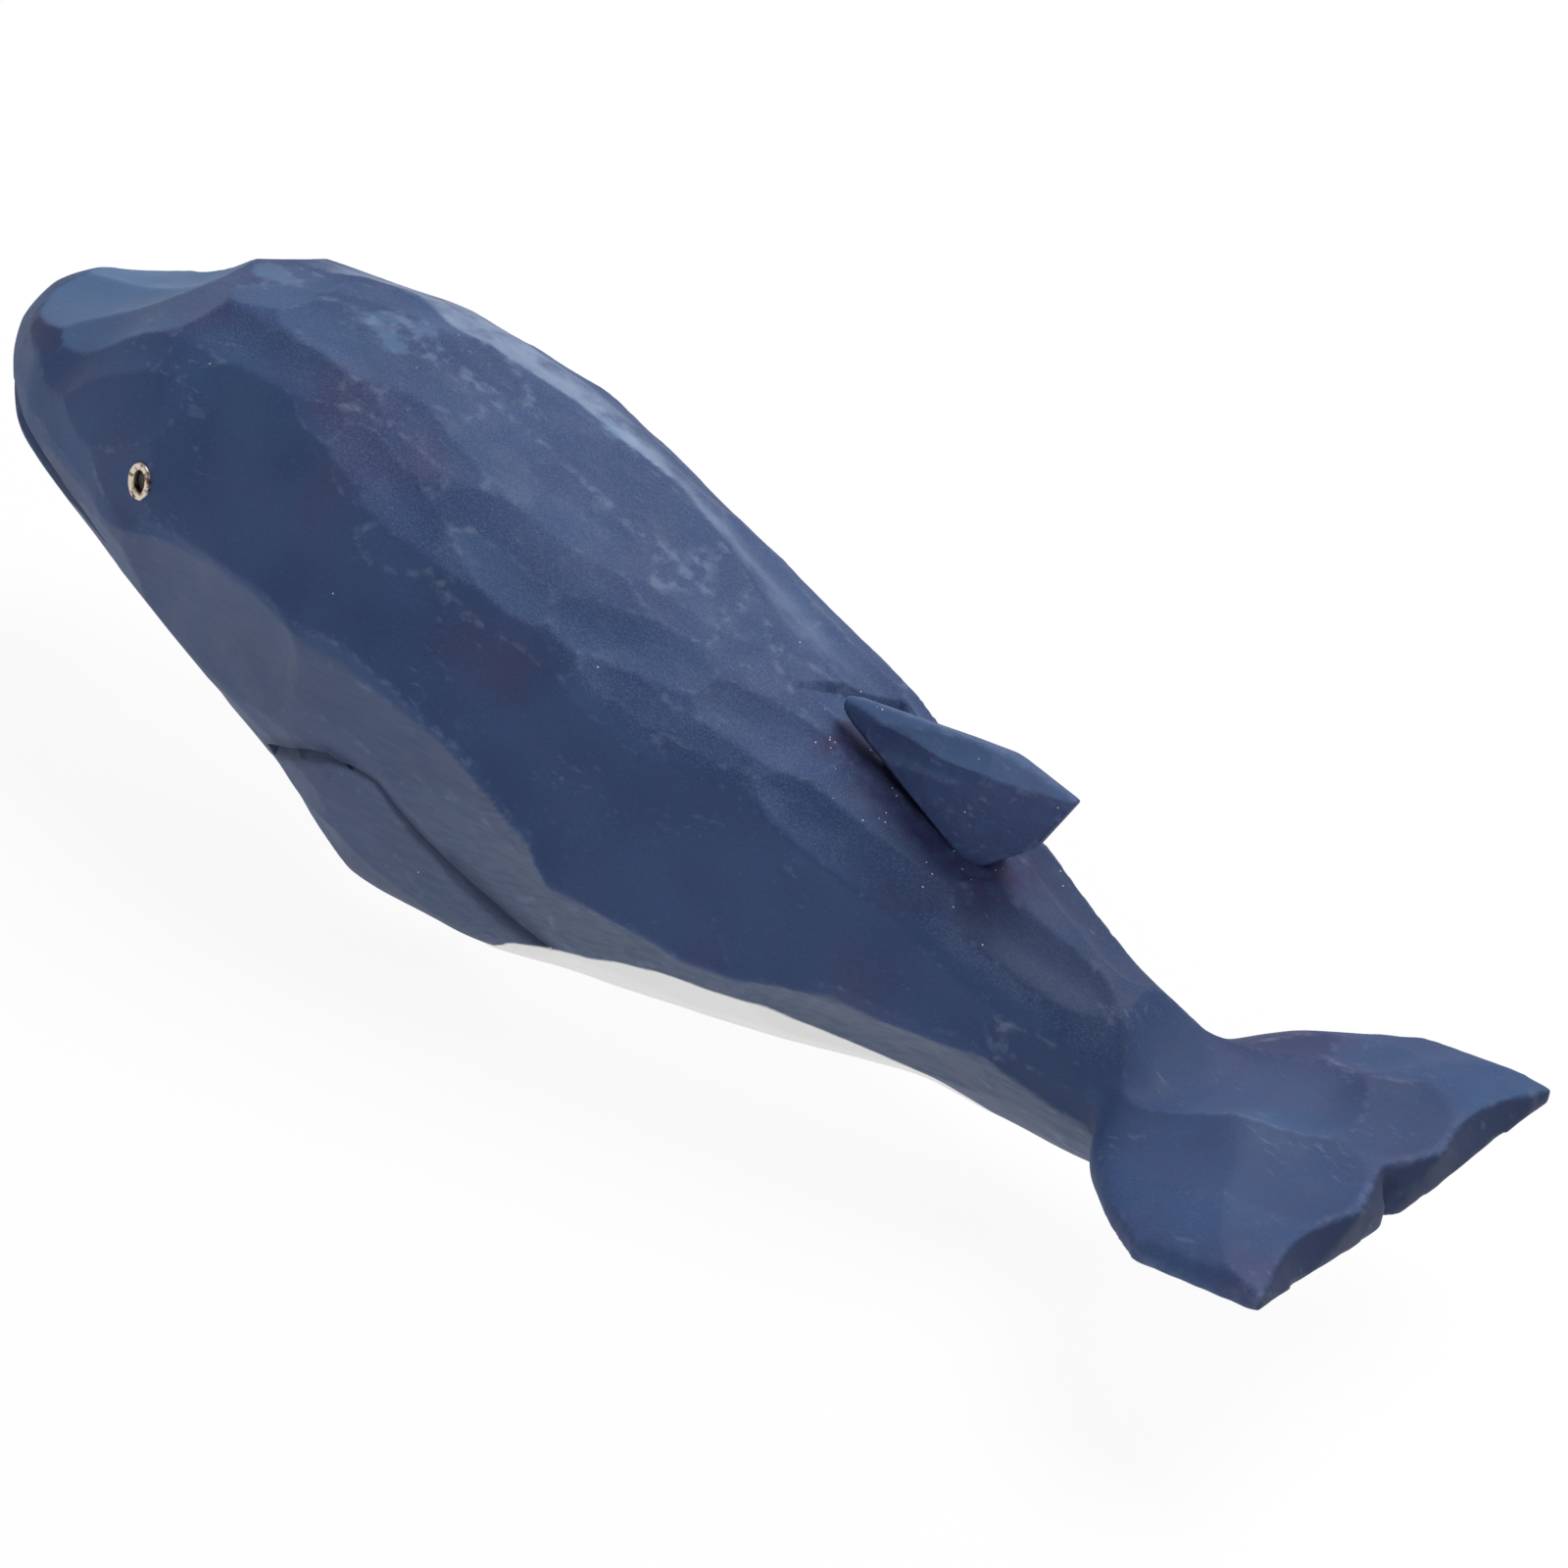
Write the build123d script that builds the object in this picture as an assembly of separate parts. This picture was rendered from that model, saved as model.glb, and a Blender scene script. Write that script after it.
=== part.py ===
from build123d import *
from bisect import bisect
from dataclasses import dataclass
import math
import os
import random

# A whale carved from one block of basswood, with a let-in dorsal fin and two inlaid eyes.
# +X runs from the snout to the flukes, -Y is the whale's left side, and the belly rests at Z = 0.

# Whole figure
whale_length = 130.0
body_height = 39.1        # hump to belly, before the resting flat is cut
body_width = 36.2
belly_flat_depth = 1.3    # how deep the resting flat goes into the rounded belly
overrun = 4.0             # how far a cutting shape runs past the wood
glue_gap = 0.05           # film of glue round every glued piece

# Body: stations as shares of the length, heights of body_height, half widths of half body_width
body_station_shares = (0, 0.0115, 0.038, 0.085, 0.154, 0.246, 0.346, 0.46, 0.577, 0.685, 0.777, 0.846, 0.93)
body_back_shares = (0.665, 0.723, 0.764, 0.863, 0.955, 1, 0.977, 0.864, 0.78, 0.673, 0.552, 0.452, 0.338)
body_belly_shares = (0.504, 0.44, 0.357, 0.296, 0.226, 0.124, 0, 0, 0.071, 0.134, 0.178, 0.228, 0.312)
body_side_shares = (0.15, 0.255, 0.45, 0.615, 0.785, 0.915, 0.985, 0.908, 0.705, 0.51, 0.343, 0.199, 0.017)
back_roundness = 2.3      # 2 is an ellipse, and more is squarer
body_belly_roundness = (2, 2.1, 2.2, 2.2, 2, 1.9, 2.2, 3, 2.7, 2, 2, 2, 2)

# Tail stock, in the same shares
stock_station_shares = (0.56, 0.777, 0.854, 0.96)
stock_back_shares = (0.698, 0.528, 0.478, 0.34)
stock_belly_shares = (0.126, 0.156, 0.168, 0.312)
stock_side_shares = (0.475, 0.348, 0.298, 0.12)
stock_belly_roundness = (2, 2, 2, 2)

# Knife strokes: each row's station share, and its flats around the wood
body_stroke_shares = ((0.012, 8), (0.034, 9), (0.07, 12), (0.125, 14), (0.2, 16), (0.29, 17),
                      (0.385, 17), (0.48, 16), (0.57, 15), (0.66, 13), (0.75, 11))
stock_stroke_shares = ((0.66, 8), (0.78, 8), (0.88, 8))
stroke_reach = 4.0        # length of form that one flat averages
stroke_turn = 8           # degrees of form round the body that it averages
stroke_bite = 0.12        # how far a flat lies inside the rounded form
stroke_wander = 0.16      # how unevenly the flats are cut
stroke_wander_share = 0.12
stroke_slide_share = 0.1  # how far a flat strays along the body, as a share of its distance from the snout
carver = random.Random(5)

# Scooped brow between the snout and the hump
brow_station_share = 0.083
brow_scoop_radius = 30.0
brow_scoop_depth = 1.3
brow_scoop_shares = ((90, 1), (74, 0.96), (106, 0.96), (58, 0.85), (122, 0.85),
                     (42, 0.62), (138, 0.62), (26, 0.31), (154, 0.31))   # angle round the head, and depth

# Mouth, a V groove round the snout
mouth_front_share = 0.545      # heights, as shares of body_height
mouth_corner_share = 0.442
mouth_station_shares = (0.142, 0.115, 0.085, 0.055, 0.03, 0.012, 0.003)
mouth_width = 1.1
mouth_depth = 1.2
groove_end_share = 0.35   # how large a groove is at its ends

# Eyes, a pale ring let into each cheek with a dark peg in its bore
eye_station_share = 0.1777
eye_height_share = 0.673
cheek_bite = 0.1          # how far the cheek flat lies inside the rounded form
eye_ring_diameter = 2.4
eye_ring_bore = 1.3
eye_ring_length = 3.0
eye_ring_proud = 0.15
eye_ring_lip = 0.12
eye_pupil_sunk = 0.25

# Flippers, low relief on each flank: station share and angle round the left flank
flipper_upper_shares = ((0.303, -150), (0.329, -164), (0.352, -171), (0.378, -172), (0.402, -169),
                        (0.429, -163), (0.454, -156), (0.475, -148), (0.492, -140))
flipper_lower_shares = ((0.464, -141), (0.43, -128), (0.385, -121), (0.34, -125), (0.312, -134))
flipper_flat_shares = ((0.312, -146, 0.003), (0.33, -160, 0.005), (0.385, -156, 0.006),
                       (0.445, -150, 0.006), (0.345, -134, 0.024), (0.39, -130, 0.024),
                       (0.45, -126, -0.02))   # station, angle, and how proud of the flank by body_width
flipper_groove_width = 2.4
flipper_groove_depth = 0.9

# Flukes: chord ahead of the tail end, half span and body_height, all as shares
fluke_span = 36.0
fluke_chord = 25.0
fluke_point_shares = {
    "ridge": (0.84, 0, 0.491),
    "notch": (0.104, 0, 0.46),
    "tip": (0, 0.985, 0.464),
    "corner": (0.4, 1, 0.409),
    "edge": (0.73, 0.6, 0.387),
    "inner": (0.52, 0.33, 0.453),
    "side_tip": (0, 0.978, 0.452),
    "side_corner": (0.4, 1, 0.39),
    "side_inner": (0.2, 0.94, 0.452),
    "under_root": (0.8, 0, 0.2),
    "under_notch": (0.04, 0, 0.355),
    "under_tip": (0, 0.985, 0.411),
    "under_corner": (0.4, 1, 0.37),
    "under_edge": (0.73, 0.6, 0.327),
    "under_inner": (0.6, 0, 0.235),
}
fluke_facets = (("ridge", "notch", "tip"), ("ridge", "corner", "tip"), ("edge", "corner", "inner"),
                ("side_tip", "side_corner", "side_inner"), ("under_root", "under_notch", "under_tip"),
                ("under_root", "under_corner", "under_tip"), ("under_edge", "under_corner", "under_inner"))
fluke_plan_shares = ((0.87, 0.25), (0.82, 0.43), (0.735, 0.61), (0.605, 0.8), (0.4, 1), (0, 0.985),
                     (0.02, 0.6), (0.03, 0.2), (0.04, 0))
fluke_scoop_share = 0.58  # where the gouge across each lobe's trailing edge is, by the half span
fluke_scoop_radius = 14.0
fluke_scoop_depth = 0.95
fluke_gouge_tilt = 30     # how far the cuts into the trailing edge lean forward at the top
fluke_notch_width = 3.4
fluke_dish_width = 15.0   # of the wide leaning cut on either side of the notch

# Dorsal fin: crest points as shares of its length and rise above the seat line
fin_station_share = 0.5885
fin_length = 20.4
fin_rise = 8.0
fin_thickness = 4.4
fin_nose_thickness = 0.7
fin_crest_shares = ((0, 0), (0.1, 0.19), (0.39, 0.59), (0.64, 0.93), (0.97, 1.15))
fin_rear_shares = ((0.93, 0.4), (0.9, 0))
fin_full_share = 0.5      # where the fin reaches its full thickness
fin_boat_share = 0.7      # where it narrows again towards the tip
fin_crest_slope = 26
fin_let_in = 2.0
fin_bed_depth = 0.6
fin_bed_shares = ((-0.07, 0), (0.06, 0.17), (0.29, 0.275), (0.6, 0.275))   # outline, by fin_length
fin_tenon_length = 9.0
fin_tenon_width = 2.6
fin_tenon_depth = 4.5

half_length = whale_length / 2


def station(share):
    """X of a station given as a share of the whole length from the snout."""
    return share * whale_length - half_length


def height(share):
    """Z of a height given as a share of the body's, above the resting flat."""
    return share * body_height - belly_flat_depth


@dataclass
class Form:
    """A rounded shape that the knife's flats follow, with its lines along X."""
    stations: list
    backs: list
    bellies: list
    sides: list
    belly_rounds: list

    def line(self, values, x):
        """Value of one line at x, straight between stations and beyond them."""
        i = max(1, min(len(values) - 1, bisect(self.stations, x)))
        along = (x - self.stations[i - 1]) / (self.stations[i] - self.stations[i - 1])
        return values[i - 1] + along * (values[i] - values[i - 1])

    def section(self, x):
        """Half width, middle height and half height of the section at x."""
        back = self.line(self.backs, x)
        belly = self.line(self.bellies, x)
        return self.line(self.sides, x), (back + belly) / 2, (back - belly) / 2

    def roundness(self, x, up):
        """Roundness of the section above or below its middle."""
        return back_roundness if up > 0 else self.line(self.belly_rounds, x)

    def point(self, x, angle):
        """Point on the rounded form: 90 degrees is the back, 180 the left side."""
        half_width, middle, half_height = self.section(x)
        across = math.cos(math.radians(angle))
        up = math.sin(math.radians(angle))
        power = 2 / self.roundness(x, up)
        return Vector(x, half_width * math.copysign(abs(across) ** power, across),
                      middle + half_height * math.copysign(abs(up) ** power, up))

    def angle_at(self, x, z):
        """Angle on the left side at which the form passes a height."""
        half_width, middle, half_height = self.section(x)
        level = (z - middle) / half_height
        up = math.copysign(abs(level) ** (self.roundness(x, level) / 2), level)
        return 180 - math.degrees(math.asin(up))

    def normal(self, x, angle):
        """Outward normal, averaged over the reach of one stroke."""
        behind = max(x - stroke_reach, self.stations[0])
        along = self.point(x + stroke_reach, angle) - self.point(behind, angle)
        around = self.point(x, angle + stroke_turn) - self.point(x, angle - stroke_turn)
        return around.cross(along).normalized()

    def flat(self, x, angle, proud=0.0):
        """Plane of one knife stroke, standing proud of the form or biting into it."""
        normal = self.normal(x, angle)
        return Plane(origin=self.point(x, angle) + normal * proud, z_dir=normal)


def form(station_shares, back_shares, belly_shares, side_shares, belly_roundness):
    """Form from its shares of the length, the height and the half width."""
    return Form([station(share) for share in station_shares],
                [height(share) for share in back_shares],
                [height(share) for share in belly_shares],
                [share * body_width / 2 for share in side_shares], belly_roundness)


body_form = form(body_station_shares, body_back_shares, body_belly_shares, body_side_shares,
                 body_belly_roundness)
stock_form = form(stock_station_shares, stock_back_shares, stock_belly_shares, stock_side_shares,
                  stock_belly_roundness)


def carve(wood, plane):
    """Take off all the wood beyond a plane."""
    return wood.split(plane, keep=Keep.BOTTOM)


def plane_through(first, second, third, outward):
    """Plane through three points, facing the side that is cut away."""
    normal = (second - first).cross(third - first).normalized()
    if normal.dot(Vector(*outward)) < 0:
        normal = -normal
    return Plane(origin=first, z_dir=normal)


def block(x_from, x_to, half_width, z_from, z_to):
    """Rectangular blank, centred on the whale's middle plane."""
    corner = Plane(origin=(x_from, -half_width, z_from))
    return Solid.make_box(x_to - x_from, 2 * half_width, z_to - z_from, corner)


def strokes(wood, shape, rows):
    """Shave the wood with rows of flats, each row turned half a flat from the last."""
    for row, (share, count) in enumerate(rows):
        for flat in range(count):
            turn = (flat + row % 2 / 2 + carver.uniform(-1, 1) * stroke_wander_share) / count
            bite = stroke_bite + carver.uniform(-1, 1) * stroke_wander
            slid = share * (1 + carver.uniform(-1, 1) * stroke_slide_share)
            wood = carve(wood, shape.flat(station(slid), 360 * turn, -bite))
    return wood


def prism(points, direction):
    """Straight prism on a closed outline."""
    return Solid.extrude(Face(Wire.make_polygon(points)), direction)


def scoop(share, angle, depth):
    """Gouge across the head, hollow along its length."""
    x = station(share)
    out = body_form.normal(x, angle)
    axis = out.cross(Vector(1, 0, 0)).normalized()
    centre = body_form.point(x, angle) + out * (brow_scoop_radius - depth)
    return Solid.make_cylinder(brow_scoop_radius, body_width,
                               Plane(origin=centre - axis * body_width / 2, z_dir=axis))


def groove(spots, normals, width, depth):
    """V cut along a path, smaller at both ends."""
    sections = []
    last = len(spots) - 1
    lift = 1 + overrun / depth
    for i, (spot, normal) in enumerate(zip(spots, normals)):
        along = (spots[min(i + 1, last)] - spots[max(i - 1, 0)]).normalized()
        across = normal.cross(along).normalized()
        size = groove_end_share if i in (0, last) else 1
        apex = spot - normal * depth * size
        upper = apex + (normal * depth + across * width / 2) * size * lift
        lower = apex + (normal * depth - across * width / 2) * size * lift
        sections.append(Wire.make_polygon([apex, upper, lower]))
    return Solid.make_loft(sections, ruled=True)


def mouth():
    """V groove from one corner of the mouth round the snout to the other."""
    front = height(mouth_front_share)
    fall = front - height(mouth_corner_share)
    left = []
    for share in mouth_station_shares:
        x = station(share)
        angle = body_form.angle_at(x, front - fall * share / mouth_station_shares[0])
        left.append((body_form.point(x, angle), body_form.normal(x, angle)))
    right = [(Vector(spot.X, -spot.Y, spot.Z), Vector(normal.X, -normal.Y, normal.Z))
             for spot, normal in reversed(left)]
    path = left + [(Vector(-half_length, 0, front), Vector(-1, 0, 0))] + right
    return groove([spot for spot, _ in path], [normal for _, normal in path], mouth_width, mouth_depth)


def flipper():
    """Left flipper, a thin plate in relief, cut to its outline and shaved with its own flats."""
    outline = [body_form.point(station(share), angle)
               for share, angle in flipper_upper_shares + flipper_lower_shares]
    root = [Vector(spot.X, -body_width / 2 - overrun, spot.Z) for spot in outline]
    plate = prism(root, Vector(0, body_width / 2, 0))
    for share, angle, proud in flipper_flat_shares:
        plate = carve(plate, body_form.flat(station(share), angle, proud * body_width))
    return plate


def flipper_groove():
    """V groove along the flipper's upper edge."""
    places = [(station(share), angle) for share, angle in flipper_upper_shares]
    spots = [body_form.point(x, angle) for x, angle in places]
    normals = [body_form.normal(x, angle) for x, angle in places]
    return groove(spots, normals, flipper_groove_width, flipper_groove_depth)


def fluke_point(name, side=1):
    """Named point on one side of the flukes."""
    chord, span, rise = fluke_point_shares[name]
    return Vector(half_length - chord * fluke_chord, side * span * fluke_span / 2, height(rise))


def flukes():
    """Flukes cut to their plan, faceted over and under, gouged behind and notched."""
    right = [Vector(half_length - chord * fluke_chord, span * fluke_span / 2, 0)
             for chord, span in fluke_plan_shares]
    left = [Vector(spot.X, -spot.Y, spot.Z) for spot in reversed(right) if spot.Y > 0]
    wood = prism(right + left, Vector(0, 0, body_height))
    for side in (-1, 1):
        for names in fluke_facets:
            outward = (0, 0, -1) if names[0].startswith("under") else (0, 0, 1)
            wood = carve(wood, plane_through(*(fluke_point(name, side) for name in names), outward))
    for side in (-1, 1):
        wood = wood.cut(trailing_scoop(side * fluke_scoop_share * fluke_span / 2)).solid()
    return wood.cut(notch_cut(fluke_notch_width, 0), notch_cut(fluke_dish_width, fluke_gouge_tilt)).solid()


def trailing_scoop(y):
    """Gouge into the trailing edge, leaning forward at the top."""
    lean = math.radians(fluke_gouge_tilt)
    axis = Vector(-math.sin(lean), 0, math.cos(lean))
    centre_x = half_length - fluke_scoop_depth + fluke_scoop_radius / math.cos(lean)
    foot = Vector(centre_x, y, fluke_point("under_tip").Z)
    return Solid.make_cylinder(fluke_scoop_radius, 2 * body_height,
                               Plane(origin=foot - axis * body_height, z_dir=axis))


def notch_cut(width, tilt):
    """V cut between the lobes, as wide as given at the tail's end and leaning forward at the top."""
    notch = fluke_point("notch")
    lean = math.tan(math.radians(tilt))
    rear = overrun + half_length - notch.X
    spread = width / 2 * rear / (half_length - notch.X)
    foot = notch.X + notch.Z * lean
    outline = [Vector(foot, 0, 0), Vector(foot + rear, -spread, 0), Vector(foot + rear, spread, 0)]
    return prism(outline, Vector(-body_height * lean, 0, body_height))


def fin_seat():
    """Plane on the back that the fin stands on: its x runs back along the spine."""
    front = body_form.point(station(fin_station_share), 90)
    rear = body_form.point(front.X + fin_length, 90)
    return Plane(origin=front, x_dir=rear - front, z_dir=(rear - front).cross(Vector(0, 1, 0)))


def fin_plan(end_share, clearance=0.0):
    """Half outlines of the fin seen from above, from its nose back to a share of its length."""
    full = fin_thickness / 2
    nose = fin_nose_thickness / 2
    narrowing = (full - nose) / (1 - fin_boat_share)
    end = full - narrowing * (end_share - fin_boat_share)
    half = [(-clearance, nose + clearance), (fin_full_share * fin_length, full + clearance),
            (fin_boat_share * fin_length, full + clearance),
            (end_share * fin_length + clearance, end + clearance)]
    return half + [(x, -y) for x, y in reversed(half)]


def fin_base(clearance=0.0, top=0.0):
    """The part of the fin that is let into the back, or with a clearance its pocket."""
    foot = -fin_let_in - clearance
    points = [Vector(x, y, foot) for x, y in fin_plan(fin_rear_shares[-1][0], clearance)]
    base = prism(points, Vector(0, 0, top - foot))
    tenon_x = fin_full_share * fin_length
    tenon = Solid.make_box(fin_tenon_length + 2 * clearance, fin_tenon_width + 2 * clearance,
                           fin_tenon_depth,
                           Plane(origin=(tenon_x - fin_tenon_length / 2 - clearance,
                                         -fin_tenon_width / 2 - clearance,
                                         foot - fin_tenon_depth)))
    return base.fuse(tenon).solid()


def dorsal_fin(seat):
    """Fin with a gabled crest, a wedge nose and a boat tail, on its base and tenon."""
    crest = [Vector(x * fin_length, -fin_thickness, z * fin_rise) for x, z in fin_crest_shares]
    rear = [Vector(x * fin_length, -fin_thickness, z * fin_rise) for x, z in fin_rear_shares]
    blade = prism(crest + rear, Vector(0, 2 * fin_thickness, 0))
    plan = [Vector(x, y, 0) for x, y in fin_plan(1)]
    blade = blade.intersect(prism(plan, Vector(0, 0, 2 * fin_rise))).solid()
    lean = math.radians(fin_crest_slope)
    for start, end in zip(crest, crest[1:]):
        run = (end - start).normalized()
        up = run.cross(Vector(0, 1, 0)).normalized()
        for side in (-1, 1):
            out = up * math.cos(lean) + Vector(0, side * math.sin(lean), 0)
            blade = carve(blade, Plane(origin=(start.X, 0, start.Z), z_dir=out))
    return seat.location * blade.fuse(fin_base()).solid()


def fin_bed(seat):
    """Shallow bed pared on the back round the fin's root, deepest at its stop cut in front."""
    half = [Vector(x * fin_length, y * fin_length, -fin_bed_depth) for x, y in fin_bed_shares]
    outline = half + [Vector(spot.X, -spot.Y, spot.Z) for spot in reversed(half) if spot.Y > 0]
    bed = prism(outline, Vector(0, 0, overrun))
    floor = Plane(origin=(half[0].X, 0, -fin_bed_depth), z_dir=(-fin_bed_depth, 0, half[-1].X - half[0].X))
    return seat.location * bed.split(floor, keep=Keep.TOP)


def eye_place():
    """Plane of the left cheek flat at the eye, facing outward."""
    x = station(eye_station_share)
    return body_form.flat(x, body_form.angle_at(x, height(eye_height_share)), -cheek_bite)


def peg(place, radius, top, bottom):
    """Round peg along the eye's axis between two heights above the cheek."""
    return Solid.make_cylinder(radius, top - bottom,
                               Plane(origin=place.origin + place.z_dir * bottom, z_dir=place.z_dir))


def eye_ring(place):
    """Pale sleeve with its rim eased, open for the pupil."""
    foot = eye_ring_proud - eye_ring_length
    sleeve = peg(place, eye_ring_diameter / 2, eye_ring_proud, foot)
    rim = sleeve.edges().filter_by(GeomType.CIRCLE).sort_by(Axis(place.origin, place.z_dir))[-1]
    sleeve = sleeve.chamfer(eye_ring_lip, None, [rim])
    return sleeve.cut(peg(place, eye_ring_bore / 2, overrun, foot - overrun)).solid()


def eye_pupil(place):
    """Dark peg, sunk a little below the ring's rim."""
    return peg(place, eye_ring_bore / 2 - glue_gap, eye_ring_proud - eye_pupil_sunk,
               eye_ring_proud - eye_ring_length)


def eye_socket(place):
    """Bore in the cheek for the ring, with room for glue."""
    return peg(place, eye_ring_diameter / 2 + glue_gap, overrun,
               eye_ring_proud - eye_ring_length - glue_gap)


def mirrored(solid):
    """The same shape on the whale's other side."""
    return solid.mirror(Plane.XZ)


def body(seat, cheek):
    """The one carved block: trunk, stock and flukes, with everything cut into or left on it."""
    trunk = block(-half_length, half_length, body_width, -belly_flat_depth, body_height + overrun)
    trunk = strokes(trunk, body_form, body_stroke_shares)
    for plane in (cheek, Plane(origin=(cheek.origin.X, -cheek.origin.Y, cheek.origin.Z),
                               z_dir=(cheek.z_dir.X, -cheek.z_dir.Y, cheek.z_dir.Z))):
        trunk = carve(trunk, plane)
    for angle, share in brow_scoop_shares:
        trunk = trunk.cut(scoop(brow_station_share, angle, share * brow_scoop_depth)).solid()
    stock = block(stock_form.stations[0], stock_form.stations[-1], body_width / 2, 0, body_height)
    stock = strokes(stock, stock_form, stock_stroke_shares)
    wood = trunk.fuse(stock, flukes()).solid()
    for side in (-1, 1):
        keel = [fluke_point(name, side) for name in ("under_root", "under_notch", "under_tip")]
        wood = carve(wood, plane_through(*keel, (0, 0, -1)))
    wood = wood.fuse(flipper(), mirrored(flipper())).solid()
    wood = wood.cut(flipper_groove(), mirrored(flipper_groove()), mouth()).solid()
    wood = carve(wood, Plane(origin=(0, 0, 0), z_dir=(0, 0, -1)))
    pocket = seat.location * fin_base(glue_gap, overrun)
    return wood.cut(fin_bed(seat), pocket, eye_socket(cheek), mirrored(eye_socket(cheek))).solid()


def main():
    """Write each piece of the whale to its own file."""
    seat = fin_seat()
    cheek = eye_place()
    pieces = {
        "body": body(seat, cheek),
        "dorsal_fin": dorsal_fin(seat),
        "left_eye_ring": eye_ring(cheek),
        "right_eye_ring": mirrored(eye_ring(cheek)),
        "left_eye_pupil": eye_pupil(cheek),
        "right_eye_pupil": mirrored(eye_pupil(cheek)),
    }
    os.makedirs("parts", exist_ok=True)
    for name, piece in pieces.items():
        export_step(piece, f"parts/{name}.step")


main()
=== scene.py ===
import logging
import math
import random
from collections.abc import Iterable
from dataclasses import dataclass
from enum import Enum

import bmesh
import bpy
import numpy as np
from bmesh.types import BMEdge, BMesh
from bpy.types import Material, Mesh, Node, NodeSocket, NodeTree, Object, World
from mathutils import Matrix, Vector, noise
from mathutils.bvhtree import BVHTree


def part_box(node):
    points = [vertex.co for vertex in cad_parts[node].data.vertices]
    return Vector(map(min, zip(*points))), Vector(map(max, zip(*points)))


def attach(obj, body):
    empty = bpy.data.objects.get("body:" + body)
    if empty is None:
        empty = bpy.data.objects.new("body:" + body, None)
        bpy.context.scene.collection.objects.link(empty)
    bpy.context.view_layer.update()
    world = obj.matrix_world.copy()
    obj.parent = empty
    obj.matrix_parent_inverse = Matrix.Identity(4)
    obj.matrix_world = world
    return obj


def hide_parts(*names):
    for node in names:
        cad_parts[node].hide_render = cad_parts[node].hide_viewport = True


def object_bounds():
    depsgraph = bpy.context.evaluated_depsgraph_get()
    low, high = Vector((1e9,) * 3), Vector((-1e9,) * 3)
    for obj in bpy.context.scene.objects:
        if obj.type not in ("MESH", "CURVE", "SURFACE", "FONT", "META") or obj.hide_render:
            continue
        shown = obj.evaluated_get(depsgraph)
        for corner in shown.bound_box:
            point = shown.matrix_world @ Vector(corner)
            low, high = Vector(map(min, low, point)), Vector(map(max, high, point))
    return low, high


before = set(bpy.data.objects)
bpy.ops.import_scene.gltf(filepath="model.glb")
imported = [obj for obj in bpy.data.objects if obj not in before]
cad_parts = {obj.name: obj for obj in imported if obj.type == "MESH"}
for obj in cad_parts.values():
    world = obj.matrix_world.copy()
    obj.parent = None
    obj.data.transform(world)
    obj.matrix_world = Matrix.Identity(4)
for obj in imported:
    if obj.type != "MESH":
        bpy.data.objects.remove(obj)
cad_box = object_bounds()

# A knife-carved wooden whale in thin matte paint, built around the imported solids.
# Metres, in the frame of the solids: +X from the snout to the flukes, -Y is the whale's left side.

MM = 0.001
TINY = MM / 1000                 # points closer than this are one point
FACTOR, UNDER, OVER, MIXED = 0, 6, 7, 2      # a colour mix node's inputs and output, whose names repeat
log = logging.getLogger("whale")

Pixel = tuple[float, float]      # place in the photograph, from its top left corner
Span = tuple[float, float]       # where a fade starts and ends
Pairs = tuple[tuple[float, float], ...]      # pixels along a line, or stations and heights in mm
Spot = tuple[Vector, Vector]     # place on the wood, and the wood's outward direction there


class Side(Enum):
    """A flank of the whale, by the sign of its Y."""
    LEFT = -1
    RIGHT = 1


class Arris(Enum):
    """A long arris down the body, counted from the spine down."""
    SPINE = 0
    SADDLE = 1
    SHOULDER = 2
    FLANK = 3
    BELLY = 4


ArrisLines = dict[Arris, tuple[np.ndarray, np.ndarray]]      # stations, and angles round the trunk


def linear(colour: str) -> tuple[float, float, float, float]:
    """Turn an sRGB hex colour into linear light.

    Args:
        colour: six hex digits, with or without a leading hash.

    Returns:
        Red, green, blue and an alpha of 1.
    """
    channels = bytes.fromhex(colour.lstrip("#"))
    values = [c / 255 for c in channels]
    flat = [v / 12.92 if v <= 0.04045 else ((v + 0.055) / 1.055) ** 2.4 for v in values]
    return (*flat, 1.0)


def add(tree: NodeTree, kind: str, links: dict | None = None, **settings: str) -> Node:
    """Add a node with its settings and links.

    Args:
        tree: the node tree that gets the node.
        kind: the node's type name.
        links: input name or index to an output socket, to a node for its first output, or to a value.
        settings: properties of the node itself.

    Returns:
        The new node.
    """
    node = tree.nodes.new(kind)
    for name, value in settings.items():
        setattr(node, name, value)
    for key, value in (links or {}).items():
        socket = node.inputs[key]
        if isinstance(value, Node):
            value = value.outputs[0]
        if isinstance(value, NodeSocket):
            tree.links.new(value, socket)
        else:
            socket.default_value = value
    return node


def per(size_mm: float) -> float:
    """Noise scale that gives features of a real size."""
    return 1 / (size_mm * MM)


def blank(data: Material | World) -> NodeTree:
    """Empty the node tree of a new material or world.

    Args:
        data: the material or world.

    Returns:
        Its node tree.
    """
    data.use_nodes = True
    data.node_tree.nodes.clear()
    return data.node_tree


def mirrored(vector: Vector) -> Vector:
    """The same place or direction on the whale's other side."""
    return Vector((vector.x, -vector.y, vector.z))


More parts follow.
